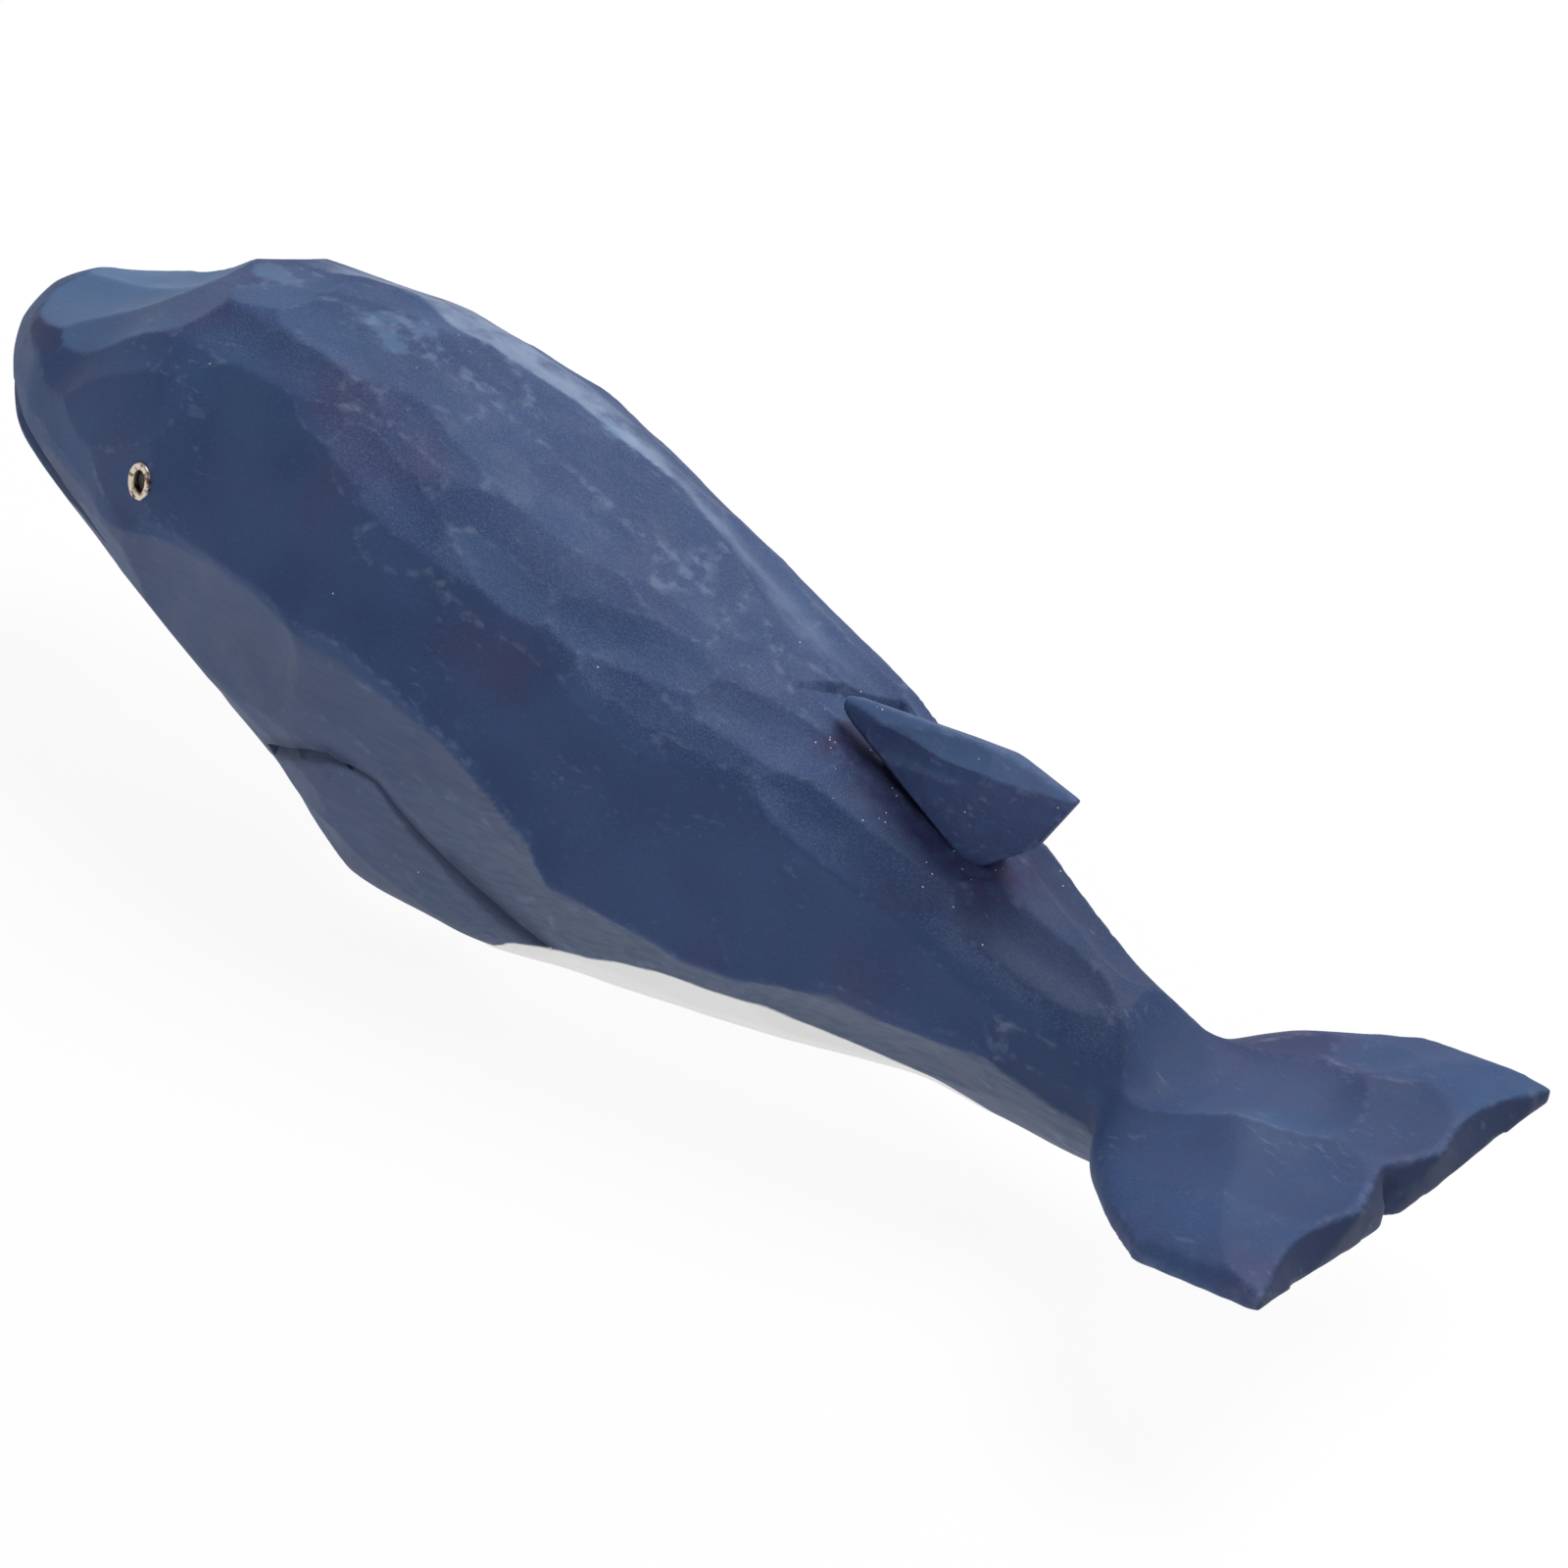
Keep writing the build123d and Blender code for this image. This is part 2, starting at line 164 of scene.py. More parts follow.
@dataclass(frozen=True)
class Photograph:
    """The camera of the photograph, from behind the left shoulder and above."""
    azimuth: float = 33.408
    elevation: float = 33.837
    roll: float = 10.062
    shift_right: float = 6.723 * MM
    shift_up: float = -4.039 * MM
    target_height: float = 19.4 * MM
    distance: float = 495.9 * MM
    focal_pixels: float = 7000.0
    frame_pixels: float = 1600.0
    sensor_mm: float = 36.0
    nearest: float = 10 * MM

    def axes(self) -> tuple[Vector, Vector, Vector]:
        """Directions of the camera.

        Returns:
            Right, up and backward.
        """
        a = math.radians(self.azimuth)
        e = math.radians(self.elevation)
        r = math.radians(self.roll)
        back = Vector((math.sin(a) * math.cos(e), -math.cos(a) * math.cos(e), math.sin(e)))
        level = Vector((math.cos(a), math.sin(a), 0))
        upright = back.cross(level)
        right = level * math.cos(r) + upright * math.sin(r)
        up = upright * math.cos(r) - level * math.sin(r)
        return right, up, back

    def position(self) -> Vector:
        """Place the camera.

        Returns:
            Where it stands.
        """
        right, up, back = self.axes()
        target = Vector((0, 0, self.target_height)) + right * self.shift_right + up * self.shift_up
        return target + back * self.distance

    def direction(self, x: float, y: float) -> Vector:
        """Look through a pixel.

        Args:
            x: its place across the photograph.
            y: and down it.

        Returns:
            The direction from the camera.
        """
        right, up, back = self.axes()
        half = self.frame_pixels / 2
        return (right * (x - half) + up * (half - y) - back * self.focal_pixels).normalized()

    def hit(self, tree: BVHTree, pixel: Pixel | Vector) -> tuple:
        """What a pixel shows of a surface: its place, outward direction, face and distance."""
        return tree.ray_cast(self.position(), self.direction(*pixel))

    def places(self, tree: BVHTree, pixels: Iterable[Pixel]) -> list[Vector]:
        """Places on a surface that pixels show, without those that miss it."""
        found = [self.hit(tree, pixel)[0] for pixel in pixels]
        return [place for place in found if place is not None]

    def build(self) -> None:
        """Make the camera and make it the scene's camera."""
        data = bpy.data.cameras.new("photograph")
        data.sensor_width = self.sensor_mm
        data.lens = self.sensor_mm * self.focal_pixels / self.frame_pixels
        data.clip_start = self.nearest
        camera = bpy.data.objects.new("photograph", data)
        turn = Matrix(self.axes()).transposed().to_4x4()
        camera.matrix_world = Matrix.Translation(self.position()) @ turn
        bpy.context.scene.collection.objects.link(camera)
        bpy.context.scene.camera = camera


@dataclass(frozen=True)
class Cut:
    """One knife or gouge stroke, placed by pixels of the photograph on the left flank."""
    start: Pixel
    end: Pixel
    width: float            # pixels across, square to the stroke in the picture
    hollow: float = 1.0     # 1 is flat across, and more is gouged hollow
    tone: float = 0.0       # how much lighter or darker it is painted: partly its paint, partly painted light and shade of its facet


@dataclass
class Stroke:
    """A stroke laid on the wood, ready to be cut."""
    centre: np.ndarray
    along: np.ndarray
    across: np.ndarray
    normal: np.ndarray
    half_length: float
    half_width: float
    bite: float
    tone: float


class Skin:
    """A closed mesh as arrays, for the carving that moves its points."""

    def __init__(self, mesh: Mesh) -> None:
        """Read a mesh.

        Args:
            mesh: the mesh, whose faces stay as they are.
        """
        self.mesh = mesh
        self.points = self.read("co", 3)
        edges = np.empty(len(mesh.edges) * 2, np.int32)
        mesh.edges.foreach_get("vertices", edges)
        self.edges = edges.reshape(-1, 2)
        self.degree = np.bincount(self.edges.ravel(), minlength=len(self.points)).astype(float)

    def read(self, name: str, width: int) -> np.ndarray:
        """Read a property of the points.

        Args:
            name: the property.
            width: how many numbers it has at each point.

        Returns:
            A row for each point.
        """
        values = np.empty(len(self.mesh.vertices) * width, np.float32)
        self.mesh.vertices.foreach_get(name, values)
        return values.reshape(-1, width).astype(float)

    def write(self) -> None:
        """Put the points back into the mesh."""
        self.mesh.vertices.foreach_set("co", self.points.astype(np.float32).ravel())
        self.mesh.update()

    def normals(self) -> np.ndarray:
        """Outward directions at the points."""
        self.write()
        return self.read("normal", 3)

    def surface(self) -> BVHTree:
        """Tree for casting rays on the mesh as it is now."""
        self.write()
        return surface_of(self.mesh)

    def average(self, values: np.ndarray) -> np.ndarray:
        """Average over the neighbours.

        Args:
            values: one number or one vector for each point.

        Returns:
            The mean of the neighbours' values at each point.
        """
        first, second = self.edges.T
        count = len(self.points)
        columns = values.reshape(count, -1)
        total = np.stack([np.bincount(first, c[second], count) + np.bincount(second, c[first], count)
                          for c in columns.T], axis=1)
        return (total / np.maximum(self.degree, 1)[:, None]).reshape(values.shape)

    def ease(self, values: np.ndarray, rounds: int, strength: np.ndarray | float = 1.0) -> np.ndarray:
        """Spread values over the mesh.

        Args:
            values: one number or one vector for each point.
            rounds: how many times each point moves half way to its neighbours' mean.
            strength: 0 keeps a point as it is, and 1 moves it fully.

        Returns:
            The values after that.
        """
        weight = np.broadcast_to(np.asarray(strength, float), len(self.points)) / 2
        weight = weight.reshape((-1,) + (1,) * (values.ndim - 1))
        for _ in range(rounds):
            values = values + (self.average(values) - values) * weight
        return values

    def ridges(self, grain: float) -> np.ndarray:
        """How proud each point stands of its neighbours' mean, by the size of the faces."""
        normals = self.normals()
        return np.einsum("ij,ij->i", self.points - self.average(self.points), normals) / grain

    def store(self, name: str, values: np.ndarray) -> None:
        """Keep an attribute that the paint reads.

        Args:
            name: the attribute, new or not.
            values: one number for each point.
        """
        table = self.mesh.attributes
        attribute = table[name] if name in table else table.new(name, "FLOAT", "POINT")
        attribute.data.foreach_set("value", values.astype(np.float32))

    def recall(self, name: str) -> np.ndarray:
        """Read an attribute back.

        Args:
            name: the attribute.

        Returns:
            One number for each point.
        """
        values = np.empty(len(self.points), np.float32)
        self.mesh.attributes[name].data.foreach_get("value", values)
        return values.astype(float)


def smooth_step(values: np.ndarray, low: float, high: float) -> np.ndarray:
    """0 before low, 1 after high, and a smooth rise between."""
    t = np.clip((values - low) / (high - low), 0, 1)
    return t * t * (3 - 2 * t)


def window(values: np.ndarray, rise: Span, fall: Span) -> np.ndarray:
    """0 before the rise and after the fall, and 1 between them."""
    return smooth_step(values, *rise) * (1 - smooth_step(values, *fall))


def refine(table: np.ndarray, times: int) -> np.ndarray:
    """Put even steps between a table's rows.

    Args:
        table: the rows.
        times: how many times more rows there will be.

    Returns:
        The longer table.
    """
    rows = np.arange(len(table))
    fine = np.linspace(0, len(table) - 1, times * len(table))
    return np.stack([np.interp(fine, rows, column) for column in table.T], axis=1)


def new_piece(name: str, mesh: Mesh) -> Object:
    """Link a mesh into the scene with smooth faces.

    Args:
        name: name of the piece.
        mesh: its mesh.

    Returns:
        The piece.
    """
    mesh.shade_smooth()
    piece = bpy.data.objects.new(name, mesh)
    bpy.context.scene.collection.objects.link(piece)
    return piece


def apply_modifiers(piece: Object) -> None:
    """Turn modifiers into a mesh and remove them.

    Args:
        piece: the piece that has them.
    """
    graph = bpy.context.evaluated_depsgraph_get()
    mesh = bpy.data.meshes.new_from_object(piece.evaluated_get(graph))
    piece.modifiers.clear()
    piece.data = mesh


def merged_copy(*nodes: str) -> BMesh:
    """Copy solids and join up their loose triangles.

    Args:
        nodes: nodes of the solids.

    Returns:
        All of them in one shape.
    """
    shape = bmesh.new()
    for node in nodes:
        shape.from_mesh(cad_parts[node].data)
    bmesh.ops.remove_doubles(shape, verts=shape.verts, dist=TINY)
    return shape


def as_mesh(shape: BMesh, name: str) -> Mesh:
    """Turn a shape into a mesh and free it.

    Args:
        shape: the shape.
        name: name of the mesh.

    Returns:
        The mesh.
    """
    mesh = bpy.data.meshes.new(name)
    shape.to_mesh(mesh)
    shape.free()
    return mesh


def even_mesh(name: str, shape: BMesh, grain: float) -> Object:
    """Put one skin of even small faces round a shape.

    Args:
        name: name of the piece.
        shape: closed shells, which may overlap.
        grain: size of the faces.

    Returns:
        The new piece.
    """
    piece = new_piece(name, as_mesh(shape, name))
    remesh = piece.modifiers.new("even", "REMESH")
    remesh.mode = "VOXEL"
    remesh.voxel_size = grain
    apply_modifiers(piece)
    piece.data.shade_smooth()
    return piece


def trim(shape: BMesh, place: Vector, outward: Vector) -> None:
    """Saw off what lies beyond a plane, and close the cut.

    Args:
        shape: a closed shell.
        place: a point on the plane.
        outward: the direction in which all goes.
    """
    cut = bmesh.ops.bisect_plane(shape, geom=shape.verts[:] + shape.edges[:] + shape.faces[:], plane_co=place,
                                 plane_no=outward, clear_outer=True)
    rim = [item for item in cut["geom_cut"] if isinstance(item, BMEdge)]
    bmesh.ops.holes_fill(shape, edges=rim)


def surface_of(mesh: Mesh) -> BVHTree:
    """Make a tree for casting rays.

    Args:
        mesh: the mesh that they hit.

    Returns:
        The tree.
    """
    shape = bmesh.new()
    shape.from_mesh(mesh)
    tree = BVHTree.FromBMesh(shape)
    shape.free()
    return tree


def dress(piece: Object, finish: Material, node: str) -> None:
    """Give a piece its finish and let it stand for its node.

    Args:
        piece: the finished piece.
        finish: its material.
        node: the node of the solids that it replaces.
    """
    piece.data.materials.append(finish)
    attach(piece, "root")
    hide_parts(node)
    log.info("%s: %d faces", piece.name, len(piece.data.polygons))


@dataclass(frozen=True)
class Clouds:
    """Noise that breaks up a coat of paint."""
    size_mm: float
    low: float = 0.0             # noise below this shows none of the coat
    high: float = 1.0            # and above this all of it
    detail: float = 5.0
    stretch: tuple[float, float, float] = (1.0, 1.0, 1.0)


@dataclass(frozen=True)
class Coat:
    """One colour wiped or worn over what lies under it."""
    colour: str
    strength: float
    attribute: str = ""          # attribute of the mesh that places it
    low: float = 0.0             # the attribute's value where it starts
    high: float = 1.0            # and where it is at full strength
    clouds: tuple[Clouds, ...] = ()


@dataclass(frozen=True)
class CarverPaint:
    """Thin matte acrylic wiped over knife-cut basswood: dull blue with the grain, worn arrises and
    scuffs showing through, and white under the belly; with painted light and shade: a highlight along the
    spine, and shade in the cuts, round the fin's root, on the fin's sides and on the flukes' trailing walls."""
    name: str = "acrylic_on_basswood"
    ground: str = "#30446e"
    white: str = "#f6f6f5"
    coats: tuple[Coat, ...] = (
        # Wiped coat with its blotches, and drifts of plum and teal
        Coat("#3a4f79", 1.0, clouds=(Clouds(6, 0.3, 0.7, 6),)),
        Coat("#473f63", 0.5, clouds=(Clouds(14, 0.5, 0.7, 8),)),
        Coat("#355a80", 0.35, clouds=(Clouds(17, 0.55, 0.75, 5, (0.9, 1.1, 1.3)),)),
        # Powdery tooth of the dry brush, strongest on the back
        Coat("#6484a8", 0.1, clouds=(Clouds(0.15, 0.45, 0.75, 5, (0.5, 1, 1)),)),
        Coat("#252f4c", 0.15, clouds=(Clouds(0.15, 0.55, 0.25, 5, (1, 0.9, 1.1)),)),
        Coat("#8b99b4", 0.07, "back", clouds=(Clouds(2.5, 0.45, 0.7, 10, (0.5, 1, 1)),)),
        Coat("#8b99b4", 0.11, "back", clouds=(Clouds(0.16, 0.5, 0.7),)),
        Coat("#252f4c", 0.42, "back", clouds=(Clouds(0.16, 0.55, 0.3),)),
        # Each stroke's own tone, partly its paint and partly painted light and shade of its facet; it also
        # carries painted shade on the flukes' trailing walls and the fin's sides, painted light on the fin's
        # top, and darker on top of the stock
        Coat("#6484a8", 1.0, "tone", 0, 0.8),
        Coat("#252f4c", 1.0, "tone", 0, -0.7),
        # Painted highlight along the spine, and plum paint with painted shade round the fin's root
        Coat("#8b9ab5", 0.8, "painted_spine_highlight", clouds=(Clouds(3, 0.25, 0.65, 8),)),
        # plum paint and painted shade where the fin meets the back, and on the fin's sides
        Coat("#312b54", 0.8, "plum", clouds=(Clouds(1.2, 0.25, 0.65, 6),)),
        # Bare wood with its growth rings where the coat is thin
        Coat("#5e687e", 0.95, "thin"),
        Coat("#33446b", 0.3, "thin", -0.15, 1, (Clouds(0.35, 0.42, 0.62, 4, (0.07, 1, 1)),)),
        # Worn arrises and scuffs
        Coat("#8b99b4", 0.3, "arris", 0.1, 0.9, (Clouds(1.1, 0.42, 0.66, 8),)),
        Coat("#8b99b4", 0.14, clouds=(Clouds(1.1, 0.6, 0.74, 8, (0.35, 1, 0.6)), Clouds(9, 0.5, 0.68, 2))),
        Coat("#8b99b4", 0.18, clouds=(Clouds(0.5, 0.56, 0.74, 6, (0.4, 1, 0.8)), Clouds(5, 0.5, 0.66, 6))),
        # Paint gathered in the cuts, and painted shade there
        Coat("#252f4c", 0.8, "groove", 0, 0.5),
    )
    brush: Clouds = Clouds(1.5, 0.3, 0.6, 4, (0.2, 1, 1))    # its low and high are mm past the border
    brush_stray: float = 0.8     # how far the brush strayed over the white's border, in mm
    speck_mm: float = 0.5        # spacing of the dust caught in the paint
    speck_size: float = 0.12     # size of a speck, by that spacing
    speck_strength: float = 0.6
    specks: tuple[float, float] = (0.003, 0.28)    # share of the places with a speck: clean, and dusty
    streaks: Clouds = Clouds(0.35, detail=3, stretch=(0.07, 1, 1))
    tooth: Clouds = Clouds(0.5)
    relief: float = 0.03 * MM    # height of the streaks and the tooth
    relief_strength: float = 0.35
    sheen: Clouds = Clouds(3, 0.3, 0.7, 4)
    roughness: tuple[float, float] = (0.52, 0.72)
    ior: float = 1.48
    specular: float = 0.22

    def build(self) -> Material:
        """Make the material.

        Returns:
            The paint of the body and the fin.
        """
        material = bpy.data.materials.new(self.name)
        tree = blank(material)
        place = add(tree, "ShaderNodeTexCoord").outputs["Object"]
        used = [clouds for coat in self.coats for clouds in coat.clouds]
        patterns = {}
        for clouds in dict.fromkeys((*used, self.brush, self.streaks, self.tooth, self.sheen)):
            stretched = add(tree, "ShaderNodeMapping", {"Vector": place, "Scale": clouds.stretch})
            patterns[clouds] = add(tree, "ShaderNodeTexNoise", {
                "Vector": stretched, "Scale": per(clouds.size_mm), "Detail": clouds.detail})
        layers = [(self.share(tree, patterns, coat), coat.colour) for coat in self.coats]

        # White belly, with a brushed border
        border = add(tree, "ShaderNodeAttribute", attribute_name="belly").outputs["Fac"]
        ragged = add(tree, "ShaderNodeMath", {0: patterns[self.brush], 1: self.brush_stray, 2: border},
                     operation="MULTIPLY_ADD")
        belly = add(tree, "ShaderNodeMapRange",
                    {"Value": ragged, "From Min": self.brush.low, "From Max": self.brush.high},
                    interpolation_type="SMOOTHSTEP")
        layers.append((belly, self.white))

        # Dust specks in the paint
        cells = add(tree, "ShaderNodeTexVoronoi", {"Vector": place, "Scale": per(self.speck_mm)})
        dot = add(tree, "ShaderNodeMath", {0: cells.outputs["Distance"], 1: self.speck_size},
                  operation="LESS_THAN")
        lot = add(tree, "ShaderNodeSeparateColor", {"Color": cells.outputs["Color"]})
        dust = add(tree, "ShaderNodeAttribute", attribute_name="dust").outputs["Fac"]
        crowd = add(tree, "ShaderNodeMapRange",
                    {"Value": dust, "To Min": self.specks[0], "To Max": self.specks[1]})
        chosen = add(tree, "ShaderNodeMath", {0: lot, 1: crowd}, operation="LESS_THAN")
        speck = add(tree, "ShaderNodeMath", {0: dot, 1: chosen}, operation="MULTIPLY")
        faint = add(tree, "ShaderNodeMath", {0: speck, 1: self.speck_strength}, operation="MULTIPLY")
        layers.append((faint, self.white))
        colour = linear(self.ground)
        for share, over in layers:
            colour = add(tree, "ShaderNodeMix", {FACTOR: share, UNDER: colour, OVER: linear(over)},
                         data_type="RGBA").outputs[MIXED]

        # Relief of the brushed coat over the grain
        relief = add(tree, "ShaderNodeMath", {0: patterns[self.streaks], 1: patterns[self.tooth]},
                     operation="ADD")
        bump = add(tree, "ShaderNodeBump", {"Height": relief, "Strength": self.relief_strength,
                                            "Distance": self.relief})
        rough = add(tree, "ShaderNodeMapRange",
                    {"Value": patterns[self.sheen], "From Min": self.sheen.low, "From Max": self.sheen.high,
                     "To Min": self.roughness[0], "To Max": self.roughness[1]})
        shader = add(tree, "ShaderNodeBsdfPrincipled", {
            "Base Color": colour, "Roughness": rough, "Normal": bump, "IOR": self.ior,
            "Specular IOR Level": self.specular,
        })
        add(tree, "ShaderNodeOutputMaterial", {"Surface": shader})
        return material

    def share(self, tree: NodeTree, patterns: dict[Clouds, Node], coat: Coat) -> Node | float:
        """How much of a coat there is at each place.

        Args:
            tree: the material's nodes.
            patterns: the noises.
            coat: the coat of paint.

        Returns:
            A number from 0 to the coat's strength.
        """
        amount = coat.strength
        if coat.attribute:
            value = add(tree, "ShaderNodeAttribute", attribute_name=coat.attribute).outputs["Fac"]
            amount = add(tree, "ShaderNodeMapRange", {"Value": value, "From Min": coat.low,
                                                      "From Max": coat.high, "To Max": amount})
        for clouds in coat.clouds:
            patch = add(tree, "ShaderNodeMapRange",
                        {"Value": patterns[clouds], "From Min": clouds.low, "From Max": clouds.high},
                        interpolation_type="SMOOTHSTEP")
            amount = add(tree, "ShaderNodeMath", {0: patch, 1: amount}, operation="MULTIPLY")
        return amount


@dataclass(frozen=True)
class Mottled:
    """A plain finish in two colours that meet in blotches."""
    name: str
    colours: tuple[str, str]
    stops: Span                  # noise where the first colour gives way to the second
    blotch_mm: float
    detail: float
    roughness: float
    metallic: float = 0.0
    relief_strength: float = 0.0
    relief: float = 0.05 * MM    # height of the blotches

    def build(self) -> Material:
        """Make the material.

        Returns:
            The finish.
        """
        material = bpy.data.materials.new(self.name)
        tree = blank(material)
        place = add(tree, "ShaderNodeTexCoord").outputs["Object"]
        blotches = add(tree, "ShaderNodeTexNoise", {"Vector": place, "Scale": per(self.blotch_mm),
                                                    "Detail": self.detail})
        ramp = add(tree, "ShaderNodeValToRGB", {"Fac": blotches})
        for element, stop, colour in zip(ramp.color_ramp.elements, self.stops, self.colours):
            element.position = stop
            element.color = linear(colour)
        bump = add(tree, "ShaderNodeBump", {"Height": blotches, "Strength": self.relief_strength,
                                            "Distance": self.relief})
        shader = add(tree, "ShaderNodeBsdfPrincipled", {
            "Base Color": ramp, "Metallic": self.metallic, "Roughness": self.roughness,
            "Normal": bump,
        })
        add(tree, "ShaderNodeOutputMaterial", {"Surface": shader})
        return material


# Nickel-plated brass, rolled and then scuffed: bright cream rims with brown tarnish
TARNISHED_NICKEL = Mottled("tarnished_nickel_brass", ("#6d4f45", "#d8cdbd"), (0.36, 0.5), 0.5, 3.0, 0.3,
                           metallic=1.0, relief_strength=0.6)
# Peg deep in the eyelet: nearly black for its dark stain and the painted shade of the bore, with a dull sheen
DARK_PEG_STAIN_AND_SHADE = Mottled("dark_peg_stain_and_shade", ("#1a1413", "#2b2220"), (0.4, 0.7), 0.25, 2.0, 0.45)


@dataclass
class Carving:
    """A piece of the whale that is cut with a knife."""
    photo: Photograph = Photograph()     # the camera that places the strokes and lines
    overlap: float = 1.15        # how far a stroke's edge runs past its neighbour's
    least_bite: float = 0.1 * MM
    press: float = 1.9           # how much deeper than a flat the knife bites
    facing: float = 0.25         # least cosine between the direction of a stroke and of the wood it cuts
    near: float = 6 * MM         # how far above or below its middle a stroke cuts
    arris_reach: float = 0.028 * MM      # how near in depth two cuts are at the arris between them
    arris_bite: Span = (0.01 * MM, 0.06 * MM)    # how deep both cut where an arris starts to show
    fill_width: tuple[float, float] = (3.5 * MM, 6 * MM)
    fill_length: tuple[float, float] = (12 * MM, 24 * MM)
    fill_radius: float = 11 * MM
    fill_to: float = 44 * MM
    fill_stray: float = 0.15             # how far a filling stroke strays from the body's length
    fill_tone: float = 0.08
    tone_spread: float = 0.06            # how unevenly the strokes took the paint
    flat_tones: tuple[float, ...] = (0.03, 0.0, -0.1, 0.02)      # of the long flats, from the spine down; partly painted light and shade

    def lay(self, cuts: list[Cut], skin: Skin, sides: tuple[Side, ...]) -> list[Stroke]:
        """Lay strokes on the wood where the photograph shows them.

        Args:
            cuts: the strokes in the picture.
            skin: the wood.
            sides: the flanks that get them.

        Returns:
            The strokes in their places.
        """
        tree = skin.surface()
        strokes = []
        for cut in cuts:
            start = Vector(cut.start)
            end = Vector(cut.end)
            middle = (start + end) / 2
            square = (end - start).normalized().orthogonal() * cut.width / 2
            hits = [self.photo.hit(tree, pixel)
                    for pixel in (start, end, middle, middle + square, middle - square)]
            if any(hit[0] is None for hit in hits):
                log.warning("stroke off the wood: %s", cut)
                continue
            first, last, centre, upper, lower = (hit[0] for hit in hits)
            normal = hits[2][1]
            along = (last - first).normalized()
            across = normal.cross(along).normalized()
            along = across.cross(normal)
            half_width = (upper - lower).length / 2 * self.overlap
            bend = hits[3][1].angle(hits[4][1]) / (upper - lower).length
            bite = max(bend * half_width ** 2 / 2, self.least_bite) * cut.hollow * self.press
            for side in sides if centre.y < 0 else (Side.LEFT,):
                flip = np.array((1, -side.value, 1))
                placed = [np.array(vector) * flip for vector in (centre, along, across, normal)]
                strokes.append(Stroke(*placed, (last - first).length / 2, half_width, bite, cut.tone))
        return strokes

    def depth(self, points: np.ndarray, normals: np.ndarray,
              strokes: list[Stroke]) -> tuple[np.ndarray, np.ndarray, np.ndarray]:
        """How deep strokes cut.

        Args:
            points: places on the wood.
            normals: the wood's outward directions there.
            strokes: the strokes.

        Returns:
            The deepest cut at each point, the number of its stroke or -1, and the next deepest cut.
        """
        deepest = np.zeros(len(points))
        second = np.zeros(len(points))
        owner = np.full(len(points), -1)
        for number, stroke in enumerate(strokes):
            reach = points - stroke.centre
            t = reach @ stroke.along / stroke.half_length
            s = reach @ stroke.across / stroke.half_width
            near = (normals @ stroke.normal > self.facing) & (np.abs(reach @ stroke.normal) < self.near)
            cut = np.where(near, stroke.bite * (1 - s * s - t ** 4), 0)
            owner[cut > deepest] = number
            second = np.maximum(second, np.minimum(cut, deepest))
            deepest = np.maximum(deepest, cut)
        return deepest, owner, second

    def fill_in(self, skin: Skin, strokes: list[Stroke], count: int, seed: int) -> list[Stroke]:
        """Add strokes where the photograph shows none, as on the belly.

        Args:
            skin: the wood.
            strokes: the strokes laid so far.
            count: how many places are tried.
            seed: start of the random numbers.

        Returns:
            All the strokes.
        """
        chance = random.Random(seed)
        normals = skin.normals()
        depth, _, _ = self.depth(skin.points, normals, strokes)
        added = []
        for _ in range(count):
            spot = chance.randrange(len(skin.points))
            centre = skin.points[spot]
            if depth[spot] > 0 or centre[0] > self.fill_to:
                continue
            normal = normals[spot]
            along = np.array((1, chance.uniform(-self.fill_stray, self.fill_stray),
                              chance.uniform(-self.fill_stray, self.fill_stray)))
            across = np.cross(normal, along)
            across /= np.linalg.norm(across)
            along = np.cross(across, normal)
            half_width = chance.uniform(*self.fill_width) / 2
            bite = half_width ** 2 / 2 / self.fill_radius
            stroke = Stroke(centre, along, across, normal, chance.uniform(*self.fill_length) / 2, half_width,
                            bite, chance.uniform(-self.fill_tone, self.fill_tone))
            added.append(stroke)
            more, _, _ = self.depth(skin.points, normals, [stroke])
            depth = np.maximum(depth, more)
        return strokes + added

    def shave(self, skin: Skin, strokes: list[Stroke], flats: list[np.ndarray], share: np.ndarray) -> None:
        """Cut strokes and long flats into the skin, and note their paint and their arrises.

        Args:
            skin: the wood.
            strokes: the strokes.
            flats: how deep each long flat cuts at each point.
            share: how much of the lost girth each point gets back.
        """
        normals = skin.normals()
        depth, owner, second = self.depth(skin.points, normals, strokes)
        for number, flat in enumerate(flats):
            owner[flat > depth] = len(strokes) + number
            second = np.maximum(second, np.minimum(flat, depth))
            depth = np.maximum(depth, flat)
        skin.points += normals * (depth.mean() * share - depth)[:, None]
        chance = random.Random(len(strokes))
        uneven = [stroke.tone + chance.uniform(-1, 1) * self.tone_spread for stroke in strokes]
        uncut = [0]              # the last row, which the owner -1 picks
        table = np.array(uneven + list(self.flat_tones) * len(Side) + uncut)
        skin.store("tone", skin.ease(table[owner], 1))
        margin = (depth - second) / self.arris_reach
        skin.store("arris", skin.ease(np.exp(-margin ** 2) * smooth_step(second, *self.arris_bite), 1))


